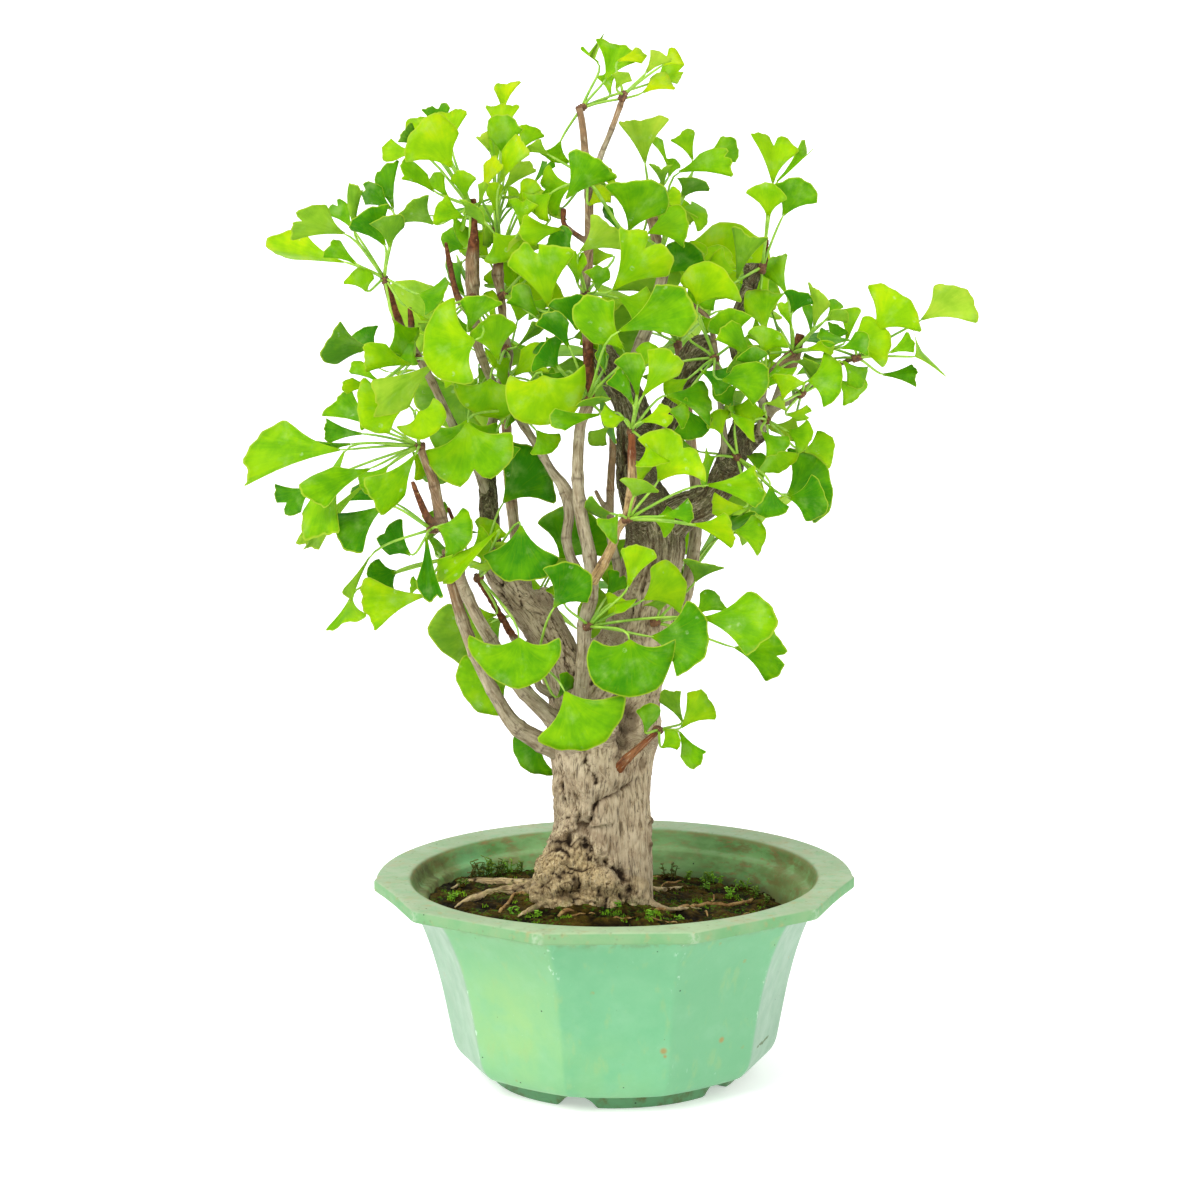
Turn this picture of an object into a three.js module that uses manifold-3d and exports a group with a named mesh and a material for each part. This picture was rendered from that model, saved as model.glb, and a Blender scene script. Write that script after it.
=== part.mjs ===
// A ginkgo bonsai in its ten-sided pot.
//
// Millimetres, +Z up. The origin lies on the standing surface, under the middle of the pot's
// foot ring. +X is to the right and +Y to the back.

import * as THREE from 'three';
import { mergeVertices } from 'three/addons/utils/BufferGeometryUtils.js';
import Module from 'manifold-3d';

const wasm = await Module();
wasm.setup();

// ---------------------------------------------------------------------------------------
// Driving dimensions
// ---------------------------------------------------------------------------------------

const GAP = 0.3; // clearance between two pieces that touch
const FULL_TURN = 2 * Math.PI;

const POT_SIDES = 10;
const POT_TOP = 142.3;
const OPENING_RADIUS = 141;
const RIM_RADIUS = 167.5; // of the rim's corners
const RIM_BACK = { across: 165, deep: 167 }; // the rim's back half is a half oval, not sided
const FLOOR_TOP = 20;
const BOWL_SEGMENTS = 30;

const FOOT = { inner: 74, recess: 8, notches: 5, firstNotchDeg: -108, archRadius: 16, archDrop: 8 };
const DRAIN_RADIUS = 9;

const PETIOLE_RADIUS = 0.8;
const PETIOLE_TIP = 0.38; // thin enough to end inside the blade
const BLADE_THICKNESS = 0.8;
const BLADE_FOOT = 1.8; // width of the blade where the stalk joins it
const BUD_RADIUS = 4.4;
const BUD_STAND_OFF = 2.2; // from the bark to the middle of the bud
const CREST = 1.06; // middle of the rim over the longer edge of the blade
const BLADE_LEAN = 0.55; // depth of a narrow blade's rim over its length
const BLADE_ROLLS = [0.25, -0.15, 0.05, -0.3, 0.2, -0.05, 0.3]; // one edge forward, one back
const DEPTH_STEP = 4;
const DEPTH_TRIES = 14;

// The plant is laid out on a front elevation in one-point perspective: a drawn point [x, z]
// lies in the plane y = 0, and its real place is on the line from the eye through it.
const EYE = new THREE.Vector3(-8.4, -2465.3, 751.1);

// ---------------------------------------------------------------------------------------
// Materials
// ---------------------------------------------------------------------------------------

const finish = (color, roughness) =>
  new THREE.MeshStandardMaterial({ color, roughness, metalness: 0 });

const glaze = () => finish('#84d4a0', 0.45);
const bark = () => finish('#8d7d68', 0.9);
const youngBark = () => finish('#8f8478', 0.8);
const redBark = () => finish('#7c3f25', 0.6);
const earth = () => finish('#3b2a1c', 0.95);
const leafGreen = () => finish('#6fb81e', 0.5);

// ---------------------------------------------------------------------------------------
// Solids
// ---------------------------------------------------------------------------------------

function solidOf(geometry) {
  const bare = geometry.clone();
  bare.deleteAttribute('normal');
  bare.deleteAttribute('uv');
  const merged = mergeVertices(bare, 1e-4);
  const corners = merged.index.array;
  const kept = [];
  for (let i = 0; i < corners.length; i += 3) {
    const [a, b, c] = corners.slice(i, i + 3);
    if (a !== b && b !== c && c !== a) {
      kept.push(a, b, c);
    }
  }
  return new wasm.Manifold(new wasm.Mesh({
    numProp: 3,
    vertProperties: merged.attributes.position.array,
    triVerts: Uint32Array.from(kept),
  }));
}

function meshOf(name, solid, material) {
  const { vertProperties, triVerts } = solid.getMesh();
  const geometry = new THREE.BufferGeometry();
  geometry.setAttribute('position', new THREE.BufferAttribute(vertProperties, 3));
  geometry.setIndex(new THREE.BufferAttribute(triVerts, 1));
  geometry.computeVertexNormals();
  const mesh = new THREE.Mesh(geometry, material);
  mesh.name = name;
  return mesh;
}

const joined = (solids) => solids.reduce((whole, next) => whole.add(next));

function boxesMeet(a, b, margin) {
  const p = a.boundingBox();
  const q = b.boundingBox();
  return [0, 1, 2].every((k) => p.min[k] < q.max[k] + margin && q.min[k] < p.max[k] + margin);
}

const isClear = (solid, others) =>
  others.every((other) => !boxesMeet(solid, other, GAP) || solid.minGap(other, 2 * GAP) >= GAP);

function fromDrawing(x, z, depth) {
  const reach = 1 - depth / EYE.y;
  return new THREE.Vector3(
    EYE.x + (x - EYE.x) * reach,
    depth,
    EYE.z + (z - EYE.z) * reach,
  );
}

// A tapering limb through its stations. Each station is { centre, radius }. Swollen, its skin
// lies that much further out on every side and at both ends.
function tube(stations, sides, swell = 0) {
  const rows = stations.length - 1;
  const skin = swell / Math.cos(Math.PI / sides);
  const geometry = new THREE.CylinderGeometry(1, 1, 1, sides, rows);
  const back = new THREE.Vector3(0, 1, 0.01);
  const frames = stations.map(({ centre, radius }, i) => {
    const before = stations[Math.max(i - 1, 0)].centre;
    const after = stations[Math.min(i + 1, rows)].centre;
    const along = after.clone().sub(before).normalize();
    const side = along.clone().cross(back).normalize();
    const front = side.clone().cross(along);
    const longer = (i === rows ? swell : 0) - (i === 0 ? swell : 0);
    const middle = centre.clone().addScaledVector(along, longer);
    return { middle, side, front, radius: radius + skin };
  });
  const place = geometry.attributes.position;
  for (let i = 0; i < place.count; i += 1) {
    const frame = frames[Math.round((place.getY(i) + 0.5) * rows)];
    const point = frame.middle.clone()
      .addScaledVector(frame.side, place.getX(i) * frame.radius)
      .addScaledVector(frame.front, place.getZ(i) * frame.radius);
    place.setXYZ(i, point.x, point.y, point.z);
  }
  return solidOf(geometry);
}

// Limb stations drawn as [x, z, depth, radius].
const drawn = (rows) => rows.map(([x, z, depth, radius]) =>
  ({ centre: fromDrawing(x, z, depth), radius }));

// ---------------------------------------------------------------------------------------
// Pot
// ---------------------------------------------------------------------------------------

// [corner radius, height, how ten-sided the ring is: 0 round, 1 flat-sided]
const POT_OUTSIDE = [
  [0, 0, 0], [86.5, 0, 0], [87.5, 9, 0], [98, 10.5, 0.3], [106, 13.5, 0.8], [113.5, 25, 1],
  [115.5, 35, 1], [118.5, 52, 1], [121.5, 67, 1], [128.5, 93, 1], [134.5, 109, 1], [144, 127, 1],
  [150, 132.5, 1], [RIM_RADIUS, 134, 1], [RIM_RADIUS, POT_TOP, 1], [0, POT_TOP, 1],
];

// [radius, height], with the shallow step a little below the rim
const POT_INSIDE = [
  [0, FLOOR_TOP], [98, FLOOR_TOP], [104, 28], [110.5, 67], [117, 93], [130.5, 129],
  [136.5, 130.5], [OPENING_RADIUS, POT_TOP], [OPENING_RADIUS, POT_TOP + 5], [0, POT_TOP + 5],
];

function turned(profile, segments) {
  const outline = profile.map(([radius, height]) => new THREE.Vector2(radius, height));
  return new THREE.LatheGeometry(outline, segments).rotateX(Math.PI / 2);
}

// Draws each ring of a turned shape in to the sides of a regular polygon, but for the back of
// the rim, which stays round.
function flatSided(geometry, profile) {
  const place = geometry.attributes.position;
  const sector = FULL_TURN / POT_SIDES;
  for (let i = 0; i < place.count; i += 1) {
    const [radius, , flatness] = profile[i % profile.length];
    const angle = Math.atan2(place.getY(i), place.getX(i));
    if (radius === RIM_RADIUS && Math.sin(angle) > 0.01) {
      const { across, deep } = RIM_BACK;
      place.setXYZ(i, across * Math.cos(angle), deep * Math.sin(angle), place.getZ(i));
      continue;
    }
    const fromMiddle = Math.abs(angle / sector - Math.floor(angle / sector) - 0.5) * sector;
    const chord = Math.cos(sector / 2) / Math.cos(fromMiddle);
    const shrink = 1 - flatness * (1 - chord);
    place.setXYZ(i, place.getX(i) * shrink, place.getY(i) * shrink, place.getZ(i));
  }
  return geometry;
}

function footNotch(index) {
  const angle = THREE.MathUtils.degToRad(FOOT.firstNotchDeg) + (index * FULL_TURN) / FOOT.notches;
  const arch = new THREE.CylinderGeometry(FOOT.archRadius, FOOT.archRadius, 30, 14);
  arch.rotateZ(Math.PI / 2).translate(84, 0, -FOOT.archDrop).rotateZ(angle);
  return solidOf(arch);
}

function pot() {
  const outside = solidOf(flatSided(turned(POT_OUTSIDE, 2 * POT_SIDES), POT_OUTSIDE));
  const inside = solidOf(turned(POT_INSIDE, BOWL_SEGMENTS));
  const recess = new THREE.CylinderGeometry(FOOT.inner, FOOT.inner - 2, 2 * FOOT.recess, 20);
  const drain = new THREE.CylinderGeometry(DRAIN_RADIUS, DRAIN_RADIUS, 3 * FLOOR_TOP, 12);
  let body = outside
    .subtract(inside)
    .subtract(solidOf(recess.rotateX(Math.PI / 2)))
    .subtract(solidOf(drain.rotateX(Math.PI / 2)));
  for (let index = 0; index < FOOT.notches; index += 1) {
    body = body.subtract(footNotch(index));
  }
  return body;
}

// ---------------------------------------------------------------------------------------
// Trunk, limbs and shoots
// ---------------------------------------------------------------------------------------

// Height of the soil: higher on the left and heaped up at the trunk.
const TRUNK_FOOT = new THREE.Vector2(-14, -6);

function soilHeight(x, y) {
  const fromTrunk = Math.hypot(x - TRUNK_FOOT.x, y - TRUNK_FOOT.y);
  return 115 - 0.055 * x + 0.0003 * x * x + 17 * Math.exp(-((fromTrunk / 62) ** 2));
}

// Surface roots in plan, as [x, y, radius]; they lie half sunk in the soil.
const ROOTS = [
  [[-30, 6, 11], [-55, 28, 7.5], [-80, 50, 5.5], [-102, 52, 4.2], [-118, 26, 3]],
  [[-28, -6, 12], [-56, 8, 8], [-80, 12, 5.5], [-100, -4, 4], [-112, -24, 2.8]],
  [[-24, -20, 10], [-46, -34, 6.5], [-64, -48, 4], [-80, -70, 2.5]],
  [[14, -12, 8], [42, -24, 3.4], [68, -14, 2.8], [94, 10, 2]],
  [[8, 20, 12], [34, 46, 6], [52, 76, 3.5], [74, 88, 2.4]],
  [[-20, 22, 12], [-40, 56, 6], [-46, 86, 3]],
];

const rootTube = (plan, swell) => tube(
  plan.map(([x, y, radius]) =>
    ({ centre: new THREE.Vector3(x, y, soilHeight(x, y) + radius * 0.25), radius })),
  5,
  swell,
);

// Each woody piece lists its limbs as rows of [x, z, depth, radius], what it grows from, the
// number of sides of its tubes, and its bark.
const WOOD = {
  trunk: {
    sides: 11,
    bark,
    limbs: [
      [[-14, 72, 6, 20], [-14, 100, 5, 36], [-15, 124, 3, 42], [-13, 148, 4, 37], [-9, 172, 4, 33],
        [-8, 198, 4, 33.5], [-8, 220, 4, 35], [-7, 242, 5, 38.5], [-4, 264, 6, 38],
        [4, 283, 7, 33], [13, 302, 9, 26], [19, 324, 10, 22], [23, 346, 11, 20.5],
        [30, 372, 12, 20.5], [31, 394, 14, 18.5], [28, 414, 16, 14.5], [25, 434, 18, 12.5],
        [22, 456, 21, 11], [14, 473, 24, 9.5], [6, 488, 26, 8], [-6, 501, 28, 5.5]],
      [[12, 100, -14, 15], [12, 124, -14, 15], [12, 150, -12, 14.5], [11, 178, -10, 15],
        [9, 206, -8, 15], [12, 236, -2, 17]],
      [[-34, 108, -18, 22], [-36, 128, -18, 22], [-34, 146, -16, 19], [-27, 166, -14, 15],
        [-22, 190, -12, 12]],
      [[-8, 180, -18, 14], [-13, 205, -18, 16], [-20, 226, -16, 15], [-27, 244, -12, 14]],
    ],
  },
  left_limb: {
    from: ['trunk'],
    sides: 8,
    bark,
    limbs: [
      [[-22, 258, 0, 20], [-32, 279, -2, 16], [-39, 298, -2, 13.5], [-52, 322, -1, 13],
        [-67, 340, 1, 12], [-79, 358, 3, 9.5], [-83, 378, 5, 7.5], [-84, 402, 6, 6.6],
        [-85, 428, 8, 6]],
      [[-30, 284, 6, 12], [-36, 304, 7, 10.5], [-46, 324, 6, 10], [-53, 341, 5, 10]],
      [[-58, 302, -6, 4], [-67, 309, -13, 3], [-78, 328, -17, 2.4], [-90, 348, -21, 2.2],
        [-94, 355, -22, 1.5]],
    ],
  },
  cut_limb: {
    from: ['trunk'],
    sides: 8,
    bark,
    limbs: [
      [[24, 438, 19, 9], [36, 455, 20, 8.5], [42, 469, 21, 8], [48, 484, 22, 8.5],
        [55, 498, 23, 10.5], [62, 506, 23, 12], [70, 509, 23, 9.5]],
    ],
  },
  right_limb: {
    from: ['trunk'],
    sides: 8,
    bark,
    limbs: [
      [[33, 383, 12, 15], [48, 396, 8, 13], [62, 402, 5, 11.5], [73, 413, 3, 10.5],
        [80, 427, 2, 10], [83, 440, 2, 8.5], [86, 450, 2, 6], [88, 460, 2, 5]],
      [[80, 428, 2, 8], [91, 441, 0, 6.5], [99, 449, -1, 6.5], [104, 453, -1, 6]],
    ],
  },
  cut_branch: {
    from: ['right_limb'],
    sides: 7,
    bark,
    limbs: [
      [[98, 447, 2, 4], [106, 464, 5, 3.8], [98, 481, 8, 3.4], [87, 499, 11, 3.4],
        [83, 516, 13, 3.6], [87, 533, 12, 4.4], [93, 547, 10, 5], [96, 557, 9, 5.6],
        [96, 566, 9, 6]],
      [[97, 554, 9, 3], [103, 562, 8, 2.6], [105, 571, 8, 2], [106, 582, 8, 1.4]],
    ],
  },
  right_shoots: {
    from: ['right_limb', 'cut_branch'],
    sides: 5,
    bark: youngBark,
    limbs: [
      [[101, 450, -4, 3.4], [104, 461, -9, 3.2], [103, 474, -11, 2.8], [106, 487, -11, 2.6],
        [115, 498, -10, 2.6], [122, 504, -9, 3.4]],
      [[102, 456, -7, 3], [110, 467, -8, 3.2], [116, 482, -6, 3.4], [121, 494, -4, 4.2],
        [125, 503, -4, 4.2], [129, 518, -3, 3]],
      [[109, 465, -9, 2.2], [120, 471, -12, 1.9], [128, 477, -14, 2.4], [152, 495, -16, 1.7],
        [167, 502, -18, 1.7]],
    ],
  },
  right_thin_shoot: {
    from: ['right_limb'],
    sides: 5,
    bark: youngBark,
    limbs: [
      [[77, 424, -2, 3.4], [77, 447, -4, 2.6], [75, 466, -4, 2.3], [72, 500, -1, 2.1],
        [67, 527, 4, 1.9], [57, 537, 8, 1.7], [47, 545, 10, 1.6]],
    ],
  },
  front_shoot: {
    from: ['trunk'],
    sides: 6,
    bark: youngBark,
    limbs: [
      [[-24, 258, -26, 6], [-22, 273, -37, 5.2], [-20, 296, -41, 5], [-19, 319, -42, 5],
        [-15, 336, -42, 4.8], [-14, 352, -42, 4.8], [-16, 371, -40, 4.6], [-20, 390, -38, 4.6],
        [-23, 420, -34, 4.1], [-21, 456, -30, 3.8], [-16, 471, -28, 4.6], [-15, 500, -25, 3.7],
        [-17, 546, -18, 3.6], [-15, 567, -16, 3.6], [-14, 584, -14, 3.1], [-14, 613, -10, 3],
        [-16, 638, -6, 2.7], [-18, 660, -4, 2.5], [-20, 671, -3, 2.4]],
      [[-15, 616, -9, 2.6], [-9, 630, -8, 2.3], [-5, 641, -7, 2.2], [1, 655, -6, 2],
        [7, 671, -5, 2], [9, 677, -5, 1.8]],
      [[-15, 581, -13, 2.2], [-25, 588, -10, 1.8], [-31, 594, -8, 1.8], [-31, 604, -8, 2.2]],
    ],
  },
  red_shoot: {
    from: ['front_shoot'],
    sides: 6,
    bark: redBark,
    limbs: [
      [[-14, 348, -44, 4], [-6, 361, -47, 3.6], [0, 373, -49, 3.2], [4, 385, -50, 3],
        [10, 394, -51, 3.2], [14, 413, -51, 3.6], [14, 432, -51, 2.9], [14, 451, -51, 2.6]],
    ],
  },
  diagonal_shoot: {
    from: ['front_shoot'],
    sides: 6,
    bark: youngBark,
    limbs: [
      [[-17, 346, -40, 3.8], [-25, 358, -36, 3.6], [-31, 377, -31, 3.5], [-29, 396, -27, 3.8],
        [-32, 413, -24, 4.4], [-41, 426, -21, 3.2], [-52, 445, -17, 2.9], [-67, 468, -11, 2.9],
        [-79, 484, -6, 2.9], [-88, 505, 0, 3.2], [-92, 524, 3, 4], [-93, 545, 4, 4.6],
        [-93, 570, 4, 5], [-92, 582, 4, 3.6], [-92, 611, 4, 2.2]],
      [[-92, 529, 4, 2.6], [-101, 541, 5, 2.8], [-105, 550, 5, 2.3], [-109, 570, 5, 1.9],
        [-111, 582, 5, 1.2]],
    ],
  },
  slim_shoot: {
    from: ['left_limb'],
    sides: 5,
    bark: youngBark,
    limbs: [
      [[-85, 421, 8, 4.4], [-83, 448, 12, 3.6], [-76, 478, 16, 3.4], [-70, 502, 17, 3.8],
        [-72, 520, 17, 3], [-74, 545, 17, 2.9], [-76, 560, 17, 4], [-75, 572, 17, 3],
        [-77, 588, 17, 2.1]],
    ],
  },
  upper_left_shoot: {
    from: ['left_limb'],
    sides: 5,
    bark: youngBark,
    limbs: [
      [[-84, 408, 5, 4], [-95, 436, -2, 3.1], [-108, 458, -6, 2.9], [-121, 486, -9, 2.9],
        [-132, 506, -11, 3.1], [-140, 518, -12, 3.6], [-147, 538, -13, 2.9], [-152, 557, -14, 2.7]],
      [[-137, 513, -12, 2.8], [-135, 525, -13, 2.3], [-136, 538, -13, 1.5]],
    ],
  },
  left_long_shoot: {
    from: ['trunk'],
    sides: 6,
    bark: youngBark,
    limbs: [
      [[-34, 246, -16, 7], [-50, 261, -27, 5.8], [-65, 277, -31, 5.2], [-75, 294, -33, 4.8],
        [-84, 309, -34, 4.6], [-94, 327, -34, 4.3], [-104, 351, -34, 4.1], [-110, 374, -34, 3.9],
        [-117, 395, -34, 4.1], [-122, 420, -34, 3.6], [-130, 441, -34, 3]],
      [[-119, 384, -34, 3.4], [-126, 394, -37, 2.7], [-132, 408, -40, 2.2], [-136, 419, -42, 1.4]],
      [[-103, 350, -32, 2.4], [-103, 366, -25, 1.8], [-107, 387, -23, 1.5], [-112, 401, -23, 1.4]],
    ],
  },
  left_low_shoot: {
    from: ['trunk'],
    sides: 6,
    bark: youngBark,
    limbs: [
      [[-36, 230, -4, 8], [-52, 238, -9, 7], [-68, 249, -13, 5.8], [-79, 266, -15, 4.8],
        [-91, 290, -16, 4.5], [-98, 308, -16, 4.6], [-105, 329, -14, 4.1], [-110, 350, -11, 3.7],
        [-114, 372, -9, 3]],
    ],
  },
  trunk_sprouts: {
    from: ['trunk'],
    sides: 5,
    bark: redBark,
    limbs: [
      [[2, 216, -27, 4.2], [9, 224, -36, 3.2], [20, 234, -40, 2.6], [30, 243, -42, 1.7]],
    ],
  },
  left_sprout: {
    from: ['left_limb'],
    sides: 5,
    bark: youngBark,
    limbs: [
      [[-38, 270, -8, 4.4], [-50, 275, -14, 2.9], [-53, 286, -17, 2.5], [-54, 297, -18, 2.1]],
    ],
  },
  back_top_shoot: {
    from: ['trunk'],
    sides: 6,
    bark: youngBark,
    limbs: [
      [[8, 482, 26, 6], [18, 505, 31, 4.8], [28, 532, 34, 4.5], [36, 562, 36, 4.1],
        [31, 585, 37, 3.8], [27, 606, 37, 3.4]],
    ],
  },
  back_left_shoot: {
    from: ['trunk'],
    sides: 5,
    bark: youngBark,
    limbs: [
      [[-22, 240, 26, 9], [-36, 272, 44, 6.4], [-52, 316, 56, 5.2], [-64, 368, 64, 4.4],
        [-70, 424, 70, 3.8], [-72, 488, 72, 3]],
    ],
  },
  back_right_shoot: {
    from: ['trunk'],
    sides: 5,
    bark: youngBark,
    limbs: [
      [[10, 262, 28, 9], [30, 298, 46, 6.4], [50, 340, 58, 5.2], [58, 392, 66, 4.4],
        [54, 448, 70, 3.8], [46, 510, 72, 3]],
    ],
  },
};

function woodSolid(name, swell) {
  const { limbs, sides } = WOOD[name];
  const tubes = limbs.map((rows) => tube(drawn(rows), sides, swell));
  const roots = name === 'trunk' ? ROOTS.map((plan) => rootTube(plan, swell)) : [];
  return joined([...tubes, ...roots]);
}

const swollen = {};
const wood = {};

for (const [name, { from = [] }] of Object.entries(WOOD)) {
  swollen[name] = woodSolid(name, GAP);
  wood[name] = from.reduce((solid, parent) => solid.subtract(swollen[parent]), woodSolid(name, 0));
}

// ---------------------------------------------------------------------------------------
// Soil
// ---------------------------------------------------------------------------------------

const SOIL_FLOOR = POT_INSIDE.slice(0, 5);
const SOIL_RINGS = [1, 0.8, 0.6, 0.4, 0];

// Inner radius of the pot's wall at a height near the soil's edge.
function wallRadius(height) {
  const upper = POT_INSIDE.findIndex(([, z], i) => i > 1 && z >= height);
  const [r0, z0] = POT_INSIDE[upper - 1];
  const [r1, z1] = POT_INSIDE[upper];
  return r0 + ((r1 - r0) * (height - z0)) / (z1 - z0);
}

function soil() {
  const below = SOIL_FLOOR.map(([r, z]) => [Math.max(r - 1.2 * GAP, 0), z + GAP]);
  const profile = [...below, ...SOIL_RINGS.map((share) => [share, 0])];
  const geometry = turned(profile, BOWL_SEGMENTS);
  const place = geometry.attributes.position;
  for (let i = 0; i < place.count; i += 1) {
    const row = i % profile.length;
    if (row >= below.length) {
      const angle = Math.atan2(place.getY(i), place.getX(i));
      const share = profile[row][0];
      const edge = new THREE.Vector2(Math.cos(angle), Math.sin(angle)).multiplyScalar(124);
      const reach = share * (wallRadius(soilHeight(edge.x, edge.y)) - 2 * GAP);
      const x = share > 0 ? reach * Math.cos(angle) : 0;
      const y = share > 0 ? reach * Math.sin(angle) : 0;
      const height = share === 1 ? soilHeight(edge.x, edge.y) : soilHeight(x, y);
      place.setXYZ(i, x, y, height);
    }
  }
  return solidOf(geometry).subtract(swollen.trunk);
}

// ---------------------------------------------------------------------------------------
// Leaves
// ---------------------------------------------------------------------------------------

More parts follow.
